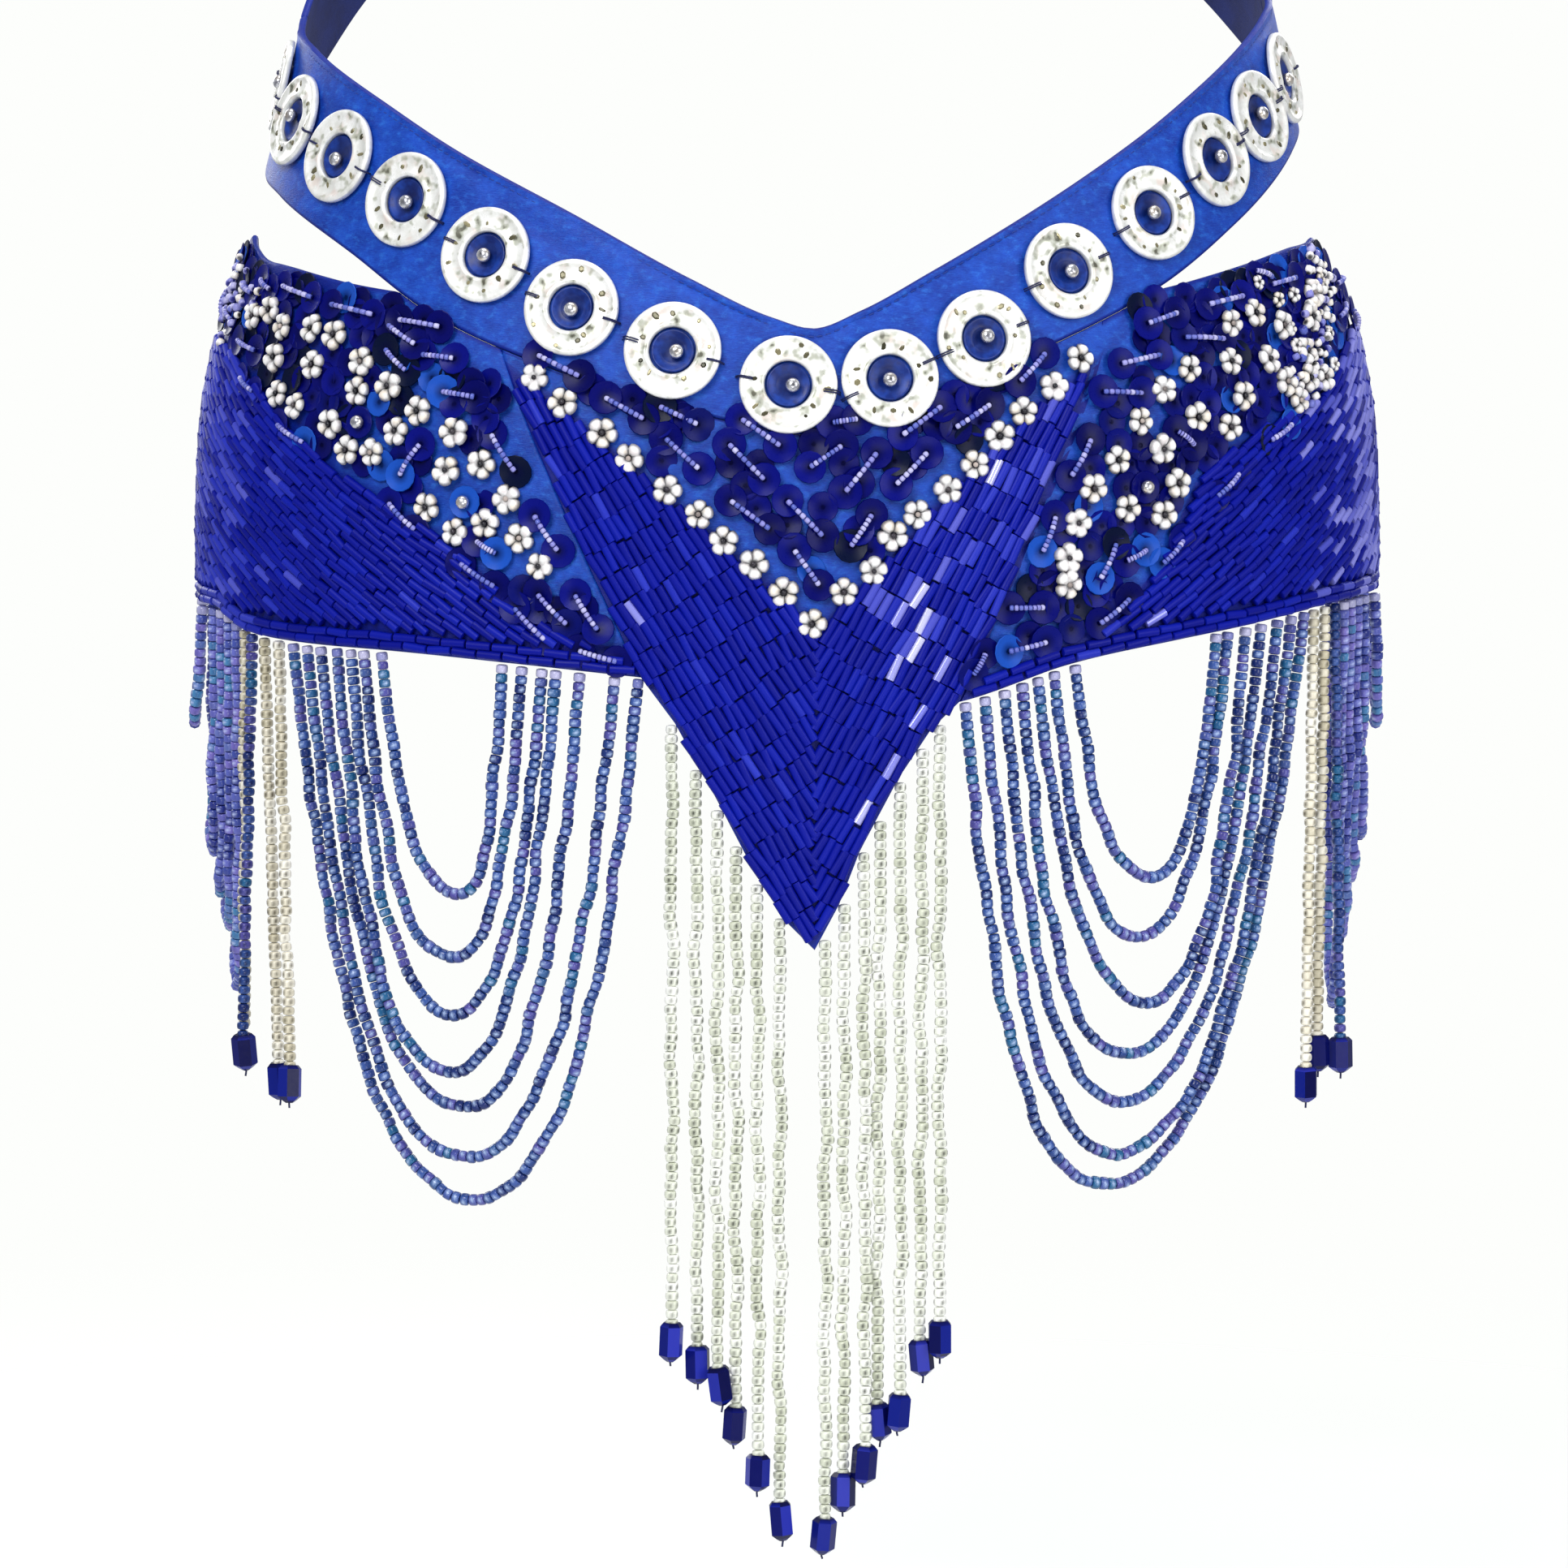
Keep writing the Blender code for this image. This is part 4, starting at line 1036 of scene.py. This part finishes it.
def make_hip_beads():
    """Small beads sewn on loosely in bands, silvered and pale blue, each clear of the ones before."""
    spots = []
    for start_a, start_h, end_a, end_h, half, wanted in HIP_BANDS:
        along = np.array([end_a - start_a, end_h - start_h], dtype=float)
        across = unit(np.array([-along[1], along[0]]))
        full = len(spots) + wanted
        for _ in range(wanted * 12):
            share, off = chance.uniform(0, 1), np.clip(chance.normal(0, 0.45), -1, 1) * half
            spot = np.array([start_a, start_h]) + along * share + across * off
            if len(spots) < full and all(np.hypot(*(spot - other)) > LOOSE_GAP for other in spots):
                spots.append(spot)
    around, height = np.array(spots).T
    count = len(spots)
    places = lay(around, height, chance.uniform(0, 360, count), 1.5 + chance.uniform(0, 0.8, count),
                 *chance.uniform(-20, 20, (2, count)))
    shape = seed_shape(8)
    size = chance.uniform(1.05, 1.5, count)
    picked = chance.uniform(0, 1, count) < np.where(around < 0, 0.75, 0.4)
    values = {"tint": chance.uniform(0, 1, (count, 1)), "deep": seam_shadow(shape)}
    scatter("hip_beads", shape, places, (FLOWER_SILVER, SEED_GLASS),
            (size * 0.9, size, size), picked, values)


def first_runs(inside):
    """The first unbroken run of True in each row: its middle and its length, as shares of the row."""
    samples = inside.shape[1]
    starts = np.argmax(inside, axis=1)
    after = ~inside & (np.arange(samples) >= starts[:, None])
    stops = np.where(after.any(axis=1), np.argmax(after, axis=1), samples)
    length = np.where(inside.any(axis=1), stops - starts, 0)
    return (starts + stops - 1) / 2 / (samples - 1), length / samples


def bugle_rows(angle, box, allowed, brick=0.0):
    """Places for bugle beads in rows at an angle, kept or cut short where allowed says.

    The grid covers the box (low around, high around, low height, high height). Rows wander a
    little, and the beads of a row are nearly level with those of the next, or half a bead off.
    """
    sin, cos = math.sin(math.radians(angle)), math.cos(math.radians(angle))
    corner = np.array([[a, h] for a in box[:2] for h in box[2:]])
    u, v = corner @ np.array([cos, sin]), corner @ np.array([-sin, cos])
    column, row = np.meshgrid(*(
        np.arange(math.floor(way.min() / pitch), math.ceil(way.max() / pitch) + 1)
        for way, pitch in ((u, BUGLE_LENGTH), (v, BUGLE_ROW))))
    shift = brick * (row % 2) * BUGLE_LENGTH + 0.9 * np.sin(row * 0.55) + 0.5 * np.sin(row * 1.7)
    u = (column * BUGLE_LENGTH + shift + chance.normal(0, 0.22, column.shape)).reshape(-1, 1)
    v = (row * BUGLE_ROW + 0.5 * np.sin(column * 1.3) + chance.normal(0, 0.10, row.shape)).reshape(-1, 1)
    bead = BUGLE_LENGTH - BUGLE_GAP
    sample = u + np.linspace(-0.5, 0.5, 13) * bead
    middle, share = first_runs(allowed(sample * cos - v * sin, sample * sin + v * cos))
    keep = share * bead > BUGLE_SHORTEST
    u, v = (u[:, 0] + (middle - 0.5) * bead)[keep], v[keep, 0]
    return np.stack(np.broadcast_arrays(u * cos - v * sin, u * sin + v * cos, angle, (share * bead)[keep]))


def make_bugles(name, places):
    """Glass tubes with bevelled ends: a few get a painted highlight, more toward the hips are pale with a
    painted sheen, and their ends have painted shade.
    """
    around, height, angle, length = places
    count = len(around)
    radius = chance.normal(BUGLE_RADIUS, 0.04, count)
    centres, axes = lay(around, height, angle + chance.normal(0, 2.6, count),
                        1.05 + chance.normal(0, 0.08, count), chance.normal(0, 2.0, count))
    y, z = swing(axes[:, 1], axes[:, 2], np.radians(chance.normal(0, 14, count)))
    # Painted sheen: toward the hips more beads, by small cells, take the pale tints, the left hip's paler.
    sheen = np.interp(np.abs(around), (158, 205, 220, SIDE), (0, 0.68, 0.6, 0.2))
    tint = chance.beta(1.4, 3.2, count) * 0.8
    cell = np.floor(around / 5.2) * 61.7 + np.floor((height + around * 0.6) / 2.6) * 17.3
    pale = np.modf(np.abs(np.sin(cell) * 437.5))[0] < sheen
    left_tint, right_tint = chance.uniform(0.8, 1.0, count), chance.uniform(0.62, 0.84, count)
    tint[pale] = np.where(around > 0, left_tint, right_tint)[pale]
    # Painted highlights: lighter violet streaks on the front panel's left side.
    streak = (around > 14) & (height > -45) & (np.sin(around * 0.55 + height * 0.3) > 0.15)
    streak &= name == "bugles_front"
    tint[streak] = chance.uniform(0.5, 0.86, count)[streak]
    shape = barrel(8, (0.86, 1.0), (1.0, 0.97))
    # Painted shade on the bevelled ends, darker toward the hips.
    at_end = np.abs(shape[0][:, 0]) == 1
    # Painted highlights: the bead nearest each flash gets the lit glass.
    to_flash = gaps(around, height, np.array(FLASHES))
    lit = np.zeros(count, dtype=int)
    lit[to_flash.argmin(axis=0)[to_flash.min(axis=0) < 5]] = 1
    scatter(name, shape, (centres, np.stack([axes[:, 0], y, z], axis=-2)), (BUGLE_GLASS, LIT_GLASS),
            (length / 2, radius, radius), lit,
            {"tint": tint[:, None], "deep": at_end * (0.1 + 0.7 * sheen)[:, None]}, sharp=50)


def front_allowed(side, around, height):
    """Where the front panel's bugle beads may lie, on one side of its centre line."""
    right, left = front_sides(height)
    inside = (around > right + 0.8) & (around < left - 0.8) & (side * around > -0.5)
    return inside & (height > point_hem(around) + 1.0) & (height < chevron(around) - 1.5)


def side_allowed(side, around, height):
    """Where a side panel's slanted bugle beads may lie: above the level rows at the hem."""
    right, left = front_sides(height)
    inside = (around < right - 1.0) if side < 0 else (around > left + 1.0)
    inside &= (side * around < SIDE - 0.8) & (height > hem(around) + HEM_ROWS_TOP)
    return inside & (height < side_border(around) - 0.8)


def hem_rows(side):
    """Two level rows of bugle beads that follow the hem of a side panel."""
    found = []
    for row in (0, 1):
        around = side * np.arange(HEM_START[side] + 3.3 * row, SIDE - 5, BUGLE_LENGTH)
        height = hem(around) + 1.9 + row * BUGLE_ROW
        angle = np.degrees(np.arctan(slope(hem, around, 2)))
        keep = height < side_border(around) - 1
        found.append(np.stack(np.broadcast_arrays(around, height, angle, HEM_BUGLE))[:, keep])
    return found


def make_all_bugles():
    """Bugle beads: steep in two directions on the front panel, slanted on the side panels."""
    front = (-95, 92, -131, 45)
    places = [bugle_rows(angle, front, partial(front_allowed, side)) for side, angle in BUGLE_SLANTS]
    make_bugles("bugles_front", np.concatenate(places, axis=1))
    for side, name, start, end in ((-1, "bugles_right", -SIDE, -45), (1, "bugles_left", 40, SIDE)):
        rows = bugle_rows(side * SIDE_SLANT, (start, end, -60, 48), partial(side_allowed, side), 0.5)
        make_bugles(name, np.concatenate([rows, *hem_rows(side)], axis=1))


def sequin_spots():
    """Sequins under both ends of each seed-bead row, single ones, and a close lattice of others between.

    One more row runs along the upper edges and laps over the strap's lower edge. The lattice thins
    out near flowers and on the front panel, and a wedge of bare satin is left below the strap beside
    the front panel.
    """
    sewn = np.concatenate([SEED_ROWS[:, :2], SEED_ROWS[:, 2:], LONE_SEQUINS])
    top = belt_top(sewn[:, 0])
    free_edge = np.where(top < strap_low(sewn[:, 0]), top, 99)
    sewn[:, 1] = np.minimum(sewn[:, 1], free_edge - 4.4)
    along, up, along_edge = SEQUIN_PITCH
    lattice = np.stack(np.meshgrid(np.arange(-SIDE + 4, SIDE - 3, along), np.arange(-56, 74, up)))
    lattice[0, 1::2] += along / 2
    lattice += chance.uniform(-1.3, 1.3, lattice.shape)
    edge = np.arange(-SIDE + 4, SIDE - 3, along_edge)
    top, strap = belt_top(edge), strap_low(edge)
    edge_height = np.minimum(top, strap) - np.where(strap < top, 2.0, 4.7)
    edge_height += chance.uniform(-0.8, 0.3, len(edge))
    around, height = np.concatenate([lattice.reshape(2, -1), [edge, edge_height]], axis=1)
    on_edge = np.arange(len(around)) >= len(around) - len(edge)
    right, left = front_sides(height)
    strap = strap_low(around)
    front = (around > right + 6) & (around < left - 6)
    front &= (height > chevron(around) + 6) & (height < strap - 1)
    upper = np.minimum(belt_top(around), strap) - np.where(on_edge, 1.0, 4.0)
    beside = np.abs(around - np.where(around < 0, right, left))
    wedge = (beside < np.where(around < 0, 13, 7)) & (height > 36)
    sides = ((around < right - 5) | (around > left + 5)) & ~wedge
    sides &= (height > side_border(around) + 2.5) & (height < upper)
    to_flower = gaps(around, height, FLOWERS).min(axis=1)
    off_flowers = np.where(around > 122, 2.4, np.where((around < -122) | (around > 60), SEQUIN_GAP, 7.6))
    luck = chance.uniform(0, 1, len(around))
    keep = ((front & (luck < 0.62)) | sides) & (gaps(around, height, sewn).min(axis=1) > SEQUIN_GAP)
    keep &= (to_flower > off_flowers) | ((to_flower > SEQUIN_GAP) & (luck < 0.35))
    return sewn, np.stack([around[keep], height[keep]], axis=-1)


def make_sequins():
    """Cupped round sequins, each a shallow dish with a rim, and those under bead ends tipped outwards."""
    sewn, others = sequin_spots()
    around, height = np.concatenate([others, sewn]).T
    count = len(around)
    loose = np.arange(count) < len(others)
    radius = np.where(loose, chance.uniform(4.2, 4.8, count), chance.uniform(4.7, 5.1, count))
    out = np.where(loose, 0.55, 1.15) + chance.uniform(-0.15, 0.25, count)
    flatter = np.where((around > 60) | (around < -122), 0.35, 1.0)
    places = lay(around, height, chance.uniform(0, 360, count), out,
                 *chance.normal(0, 8, (2, count)) * flatter)
    shape = turned(SEQUIN_PROFILE, 14)
    tint = chance.uniform(0, 0.62, count)
    unusual = chance.uniform(0, 1, count)
    tint[unusual < 0.10] = 0.75
    tint[unusual > 0.93] = 1.0
    # Painted shade at each sequin's middle, where its hole is.
    deep = np.where(from_axis(shape) < 0.2, 0.7, 0.0)
    scatter("sequins", shape, places, (SEQUIN_NAVY,), (radius,) * 3,
            values={"tint": tint[:, None], "deep": deep}, sharp=35)


def seed_shape(steps):
    """A seed bead of half length 1 and radius 1, threaded along x: a short barrel with rounded ends."""
    return barrel(steps, (0.50, 0.98), (0.86, 0.80), (1.0, 0.32))


def seam_shadow(shape, rim=0.95):
    """Each bead is dark where it meets the next one."""
    return np.clip((rim - from_axis(shape, 0)) / 0.5, 0, 1)


def blue_bead():
    """A blue bead: a light core on its outward and inward sides, and dark flanks, as lit glass shows."""
    steps = 8
    shape = barrel(steps, (0.62, 0.99), (0.94, 0.82), (1.0, 0.40), (1.0, 0))
    deep = np.maximum(seam_shadow(shape) * 0.9, np.clip(np.abs(shape[0][:, 2]) - 0.72, 0, 1) * 1.6)
    glint = np.zeros(len(deep))
    core = 3 * steps + np.array([0, steps // 2])
    glint[core] = 1.0
    glint[[core - steps, core + steps]] = 0.35
    return shape, {"deep": deep, "glint": glint}


def clear_bead():
    """A clear bead, and its shadows: four dark spots round its waist, and faint ends.

    The bead is a barrel of ten sides, and two of the spots are on its outward and inward meridians.
    """
    steps = 10
    shape = barrel(steps, (0.50, 0.98), (0.88, 0.78), (1.0, 0.34), (1.0, 0))
    deep = seam_shadow(shape, 0.9) * 0.4
    spots = 3 * steps + np.array([0, 3, 5, 8])
    deep[spots] = 1.0
    deep[[spots - steps, spots + steps]] = 0.85
    return shape, {"deep": deep, "glint": 0.0}


def make_seed_rows():
    """Small seed beads bridging two sequins: raised in the middle, with both ends drawn down."""
    start, end = SEED_ROWS[:, None, :2], SEED_ROWS[:, None, 2:]
    share = np.linspace(0.06, 0.94, SEEDS)
    around, height = np.moveaxis(start + (end - start) * share[:, None], -1, 0)
    run, rise = np.moveaxis(end - start, -1, 0)
    lean = np.degrees(np.arctan(np.cos(share * math.pi) * 0.35))
    places = np.broadcast_arrays(
        around, height, np.degrees(np.arctan2(rise, run)), 2.0 + np.sin(share * math.pi), lean,
        np.hypot(run, rise) * np.ptp(share) / (SEEDS - 1))
    *places, pitch = (value.ravel() for value in places)
    count = len(pitch)
    shape = seed_shape(7)
    radius = chance.normal(SEED_RADIUS, 0.04, count)
    scatter("seed_rows", shape, lay(*places), (SEED_GLASS,),
            (pitch / 2, radius, radius),
            values={"tint": chance.uniform(0, 1, (count, 1)), "deep": seam_shadow(shape)})
    around, height = np.array(LONE_SEQUINS, dtype=float).T
    scatter("single_silver_beads", ball(2.0, 1.8, 8, 14), lay(around, height, 0.0, 3.0), (SILVER_BEAD,))


# ---------------- fringe

LOOP_BEAD = (2.62, 1.76)    # pitch, radius
CLEAR_BEAD = (2.70, 1.78)
DROP_HALF = 3.65            # half the width of a drop bead across its edges
DROP_LENGTH = 11.0
DROP_PROFILE = ((0.30, -1.00), (0.62, -0.86), (1.0, -0.66), (1.0, 0.80), (0.72, 1.0), (0.25, 1.0))
TAPE_SECTION = (            # height above the hem, out from the cloth's outer face
    (1.2, -2.5), (1.2, -4.7), (1.5, -4.9), (6.7, -4.9), (7.0, -4.7), (7.0, -2.5), (6.7, -2.3), (1.5, -2.3),
)


def root_of(around, edge, radius):
    """Centre of a strand's first bead, which touches the cloth's edge from below."""
    return skin(around, edge(around) - (radius + 0.1) * math.hypot(1, slope(edge, around)), STRAND_OUT)


def slack(half_width, drop):
    """Catenary constant c with c (cosh(w / c) - 1) = drop, by halving."""
    low, high = half_width / 60, half_width * 60
    for _ in range(60):
        c = math.sqrt(low * high)
        if c * (math.cosh(half_width / c) - 1) > drop:
            low = c
        else:
            high = c
    return c


def loop_path(start, end, lowest, bottom, pitch):
    """Bead centres at even steps along a hanging loop: two arms of a chain from one lowest point."""
    chord = (end - start) * (1.0, 1.0, 0.0)
    width = np.linalg.norm(chord)
    left, right = width * lowest, width * (1 - lowest)
    c_left, c_right = slack(left, start[2] - bottom), slack(right, end[2] - bottom)
    reach_left, reach_right = c_left * math.sinh(left / c_left), c_right * math.sinh(right / c_right)
    steps = round((reach_left + reach_right) / (pitch * MM))
    length = np.linspace(-reach_left, reach_right, steps + 1)
    c = np.where(length < 0, c_left, c_right)
    x = c * np.arcsinh(length / c)
    path = start + chord / width * (left + x)[:, None]
    path[:, 2] = bottom + c * (np.cosh(x / c) - 1)
    return path


def from_ends(path):
    """Beads between each bead of a path and the nearer end."""
    return np.minimum(np.arange(len(path)), np.arange(len(path))[::-1])


def path_axes(path):
    """Along a path, across it on the figure, and out from the figure."""
    along = unit(np.gradient(path, axis=0))
    across = unit(np.cross(along, path * (1.0, 1.0 / DEPTH_RATIO ** 2, 0.0)))
    return along, across, np.cross(across, along)


def unsteady(path, level, sideways):
    """Small bends of a bead string, fading out at both ends: a sum of three slow waves of chance phase."""
    station = np.arange(len(path))[:, None]
    fade = np.clip(from_ends(path) / 14, 0, 1)
    bent = path
    for axis, size in zip(path_axes(path)[1:], (level, sideways)):
        waves = np.sin(2 * math.pi * (station * (1 / 17, 1 / 8.3, 1 / 4.9) + chance.uniform(0, 1, 3)))
        bent = bent + axis * (waves @ (0.5, 0.32, 0.18) * fade * size)[:, None] * MM
    return bent


def string_beads(name, paths, bead, model, spread, finishes, picked):
    """Beads threaded on paths: each lies along its path, rolled within the spread and sized by chance.

    model is the bead's shape and its values, and picked gives the finish of each bead.
    """
    pitch, radius = bead
    shape, values = model
    axes, tints = [], []
    for path in paths:
        along, across, off = path_axes(path)
        y, z = swing(across, -off, math.pi / 2 + chance.uniform(-spread, spread, len(path)))
        axes.append(np.stack([along, y, z], axis=-2))
        drift = 0.5 + 0.28 * np.sin(np.arange(len(path)) * 0.21 + chance.uniform(0, 6.3))
        tints.append(np.clip(drift + chance.uniform(-0.42, 0.42, len(path)), 0, 1))
    places = np.concatenate(paths), np.concatenate(axes)
    count = len(places[0])
    thick = radius * chance.normal(1, 0.04, count)
    long = pitch * 0.5 * chance.normal(0.98, 0.035, count)
    values = {**values, "deep": values["deep"] * chance.uniform(0.6, 1.0, (count, 1)),
              "tint": np.concatenate(tints)[:, None]}
    piece = scatter(f"{name}_beads", shape, places, finishes, (long, thick, thick),
                    np.concatenate(picked), values)
    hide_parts(name)


def make_loops():
    """The hanging loops of blue beads, in four groups, the side groups in a lighter copy of the glass as
    painted light. The first bead of each end is pearly.
    """
    still = ((0, 0),) * len(RIGHT_LOOPS)
    for name, table, swings, glass in (
        ("fringe_loops_right", RIGHT_LOOPS, still, LOOP_GLASS),
        ("fringe_loops_left", LEFT_LOOPS, still, LOOP_GLASS),
        ("fringe_side_right", RIGHT_SIDE_LOOPS, SIDE_SWING, HIP_LIT_GLASS),
        ("fringe_side_left", LEFT_SIDE_LOOPS, SIDE_SWING, HIP_LIT_GLASS),
    ):
        paths = []
        for (*roots, lowest, bottom), (at_root, at_bottom) in zip(table, swings):
            start, stop = (root_of(root, hem, LOOP_BEAD[1]) for root in roots)
            path = loop_path(start, stop, lowest, bottom * MM, LOOP_BEAD[0])
            down = np.clip((start[2] - path[:, 2:]) / (start[2] - bottom * MM), 0, 1)
            outward = unit((start + stop) * (1.0, 1.0, 0.0))
            path = path + outward * (at_root + (at_bottom - at_root) * down) * MM
            paths.append(unsteady(path, 0.75, 0.8))
        string_beads(name, paths, LOOP_BEAD, blue_bead(), 0.8, (glass, PEARL_GLASS),
                     [from_ends(path) < 1 for path in paths])


def make_strands():
    """Straight strands of clear beads, two of blue ones, and the cut drop bead at the end of each."""
    ends = []
    for name, table, edge, glass in (
        ("fringe_front", FRONT_STRANDS, point_hem, CLEAR_GLASS),
        ("fringe_drops_right", RIGHT_STRANDS + (BARE_STRAND,), hem, CREAM_GLASS),
        ("fringe_drops_left", LEFT_STRANDS, hem, CREAM_GLASS),
    ):
        paths, picked = [], []
        for row, (root, end, drop_top) in enumerate(table):
            start = root_of(root, edge, CLEAR_BEAD[1])
            stop = skin(end, drop_top, STRAND_OUT + STRAND_SWING * (-1) ** row)
            steps = round(np.linalg.norm(stop - start) / (CLEAR_BEAD[0] * MM))
            path = start + (stop - start) * np.linspace(0, 1, steps + 1)[:, None]
            paths.append(unsteady(path, 0.95, 0.6))
            picked.append(np.full(len(path), root in BLUE_STRANDS))
            if root != BARE_STRAND[0]:
                ends.append(stop)
        string_beads(name, paths, CLEAR_BEAD, clear_bead(), 0.3, (glass, LOOP_GLASS), picked)
    make_drops(np.array(ends))


def make_drops(tops):
    """Six-sided drop beads with bevelled ends, hung point down, and the knotted thread under each."""
    count = len(tops)
    turn = chance.uniform(0, math.pi / 3, count)
    tilt = np.concatenate([chance.normal(0, 0.06, (count, 2)), np.zeros((count, 1))], axis=1)
    z = unit(tilt + (0.0, 0.0, 1.0))
    y = unit(np.cross(z, round_about(1.0, turn, 0.0)))
    sizes = [half * chance.uniform(1 - less, 1 + more, count) for half, less, more in (
        (DROP_HALF, 0.07, 0.03), (DROP_HALF, 0.07, 0.03), (DROP_LENGTH / 2, 0.05, 0.05))]
    points, groups = turned(DROP_PROFILE, 6)
    points = points[np.concatenate([group.ravel() for group in groups])]
    faces, facets = [], []          # no two faces share a point, so that each has a tint of its own
    for step, group in enumerate(groups):
        first = sum(face.size for face in faces)
        faces.append(np.arange(first, first + group.size).reshape(group.shape))
        facets.append(np.repeat(np.arange(len(group)), group.shape[1]) + 100 * step)
    facet = np.concatenate(facets) + np.arange(count)[:, None] * 1000
    # Each facet's own tint makes lighter and darker facets, painted light as on cut glass; both ends get
    # painted shade.
    values = {"tint": chance.uniform(0, 1, facet.max() + 1)[facet],
              "deep": np.where(np.abs(points[:, 2]) > 0.9, 0.75, 0.0)}
    places = tops - z * DROP_LENGTH / 2 * MM, np.stack([np.cross(y, z), y, z], axis=-2)
    scatter("drop_beads", (points, faces), places, (DROP_GLASS,), sizes, values=values, sharp=0)
    tails = np.stack([tops - z * (DROP_LENGTH + below) * MM for below in (-1.0, 0.5, 1.7)], axis=1)
    tails[:, 2] += tilt[:, :1] * 4 * MM
    points, faces = tubes(tails, 0.32)
    new_piece("drop_threads", points, faces, (THREAD,))


def make_tapes():
    """The narrow tapes behind the hems that the strands are sewn to: a flat strip with rounded edges."""
    above, out = np.array(TAPE_SECTION).T[..., None]
    parts = []
    for table, edge, roots in (
        (FRONT_STRANDS, point_hem, 1), (RIGHT_STRANDS + (BARE_STRAND,), hem, 1), (LEFT_STRANDS, hem, 1),
        (RIGHT_LOOPS, hem, 2), (LEFT_LOOPS, hem, 2), (RIGHT_SIDE_LOOPS, hem, 2), (LEFT_SIDE_LOOPS, hem, 2),
    ):
        ends = np.array(table)[:, :roots]
        around = np.linspace(ends.min() - 2.2, ends.max() + 2.2, max(6, round(np.ptp(ends) / 3)))
        points = skin(around, edge(around) + above, out)
        index = np.arange(points[..., 0].size).reshape(points.shape[:2])
        sides = grid_quads(*index.shape, wrap_rows=True)
        parts.append((points.reshape(-1, 3), [sides[:, ::-1], index[:, :1].T, index[::-1, -1:].T]))
    points, faces = joined(parts)
    new_piece("fringe_tapes", points, faces, (THREAD,), sharp=40)


# ---------------- stage

AIM = np.array([-0.0016, 0.0, -0.092])
FLOOR = -0.42
FLOOR_RADIUS = 2.4
CAMERA_TURN, CAMERA_RISE, CAMERA_DISTANCE = math.radians(-3.3), math.radians(5.0), 1.6
LENS, SENSOR = 118.3, 36.0      # focal length and width, in millimetres
LIGHTS = (              # name, place, width, height, watts: soft boxes that face the belt
    ("key", (-0.75, -1.55, 1.05), 0.9, 0.9, 24.0), ("fill", (1.15, -1.35, 0.35), 0.8, 1.1, 12.0),
    ("front_low", (0.1, -1.9, -0.55), 1.2, 0.5, 6.0), ("back_left", (0.9, 1.3, 0.9), 0.8, 0.8, 11.0),
    ("back_right", (-0.9, 1.4, 0.6), 0.8, 0.8, 8.0), ("top", (0.0, 0.1, 1.5), 1.0, 1.0, 10.0),
)


def make_floor():
    """A pale round floor that fades into the ground at its rim."""
    finish = Finish("pale_floor", Roughness=0.85)
    place = finish.object_place()
    far = finish.node("ShaderNodeVectorMath", {"operation": "LENGTH"}, {0: place}, "Value")
    finish.feed(Base_Color=finish.mix(finish.noise(place, 3.0, 3.0), (238, 240, 236), (246, 247, 244)))
    clear = finish.node("ShaderNodeBsdfTransparent")
    blend = finish.node("ShaderNodeMixShader", None, {
        0: far.between(0.30, 1.2), 1: Wire(finish, finish.shader.outputs[0]), 2: clear})
    finish.plug(finish.tree.nodes["Material Output"].inputs["Surface"], blend)
    mesh = bpy.data.meshes.new("floor")
    mesh.from_pydata(round_about(FLOOR_RADIUS, circle(64), FLOOR).tolist(), [], [list(range(64))])
    mesh.materials.append(finish.material)
    floor = bpy.data.objects.new("floor", mesh)
    bpy.context.scene.collection.objects.link(floor)


def make_ground():
    """White to the eye, and a dim, faintly blue grey in what the beads reflect and in the light it gives."""
    world = bpy.data.worlds.new("studio")
    world.use_nodes = True
    tree = world.node_tree
    tree.nodes.clear()
    out, seen, lit, rays, choose = (tree.nodes.new(f"ShaderNode{kind}") for kind in (
        "OutputWorld", "Background", "Background", "LightPath", "MixShader"))
    seen.inputs["Color"].default_value = shade(253, 254, 252)
    lit.inputs["Color"].default_value = (0.92, 0.95, 1.0, 1.0)
    lit.inputs["Strength"].default_value = 0.40
    sources = rays.outputs["Is Camera Ray"], lit.outputs[0], seen.outputs[0]
    for source, socket in zip(sources, choose.inputs):
        tree.links.new(source, socket)
    tree.links.new(choose.outputs[0], out.inputs["Surface"])
    bpy.context.scene.world = world


def place_toward(name, data, place, direction):
    """A lamp or camera that looks in a direction."""
    thing = bpy.data.objects.new(name, data)
    thing.location = place
    thing.rotation_euler = Vector(direction).to_track_quat("-Z", "Y").to_euler()
    bpy.context.scene.collection.objects.link(thing)
    return thing


def make_lights():
    for name, place, width, height, watts in LIGHTS:
        light = bpy.data.lights.new(name, "AREA")
        light.shape = "RECTANGLE"
        light.size, light.size_y, light.energy = width, height, watts
        place_toward(name, light, place, AIM - place)


def make_camera():
    """A long lens 1.6 m off, 5 degrees above level and 3.3 degrees to the wearer's right."""
    level = math.cos(CAMERA_RISE)
    toward = np.array([math.sin(CAMERA_TURN) * level, -math.cos(CAMERA_TURN) * level, math.sin(CAMERA_RISE)])
    lens = bpy.data.cameras.new("camera")
    lens.lens, lens.sensor_width = LENS, SENSOR
    bpy.context.scene.camera = place_toward("camera", lens, AIM + toward * CAMERA_DISTANCE, -toward)


def main():
    bpy.context.scene.view_settings.view_transform = "Standard"
    make_strap_front()
    make_backs("strap_back", BAND, STRAP_CREASES, 20)
    make_backs("belt_back", BELT, BELT_CREASES, 34)
    make_panels()
    make_stitches()
    make_rings()
    make_flowers()
    make_hip_beads()
    make_all_bugles()
    make_sequins()
    make_seed_rows()
    make_loops()
    make_strands()
    make_tapes()
    make_floor()
    make_ground()
    make_lights()
    make_camera()


main()
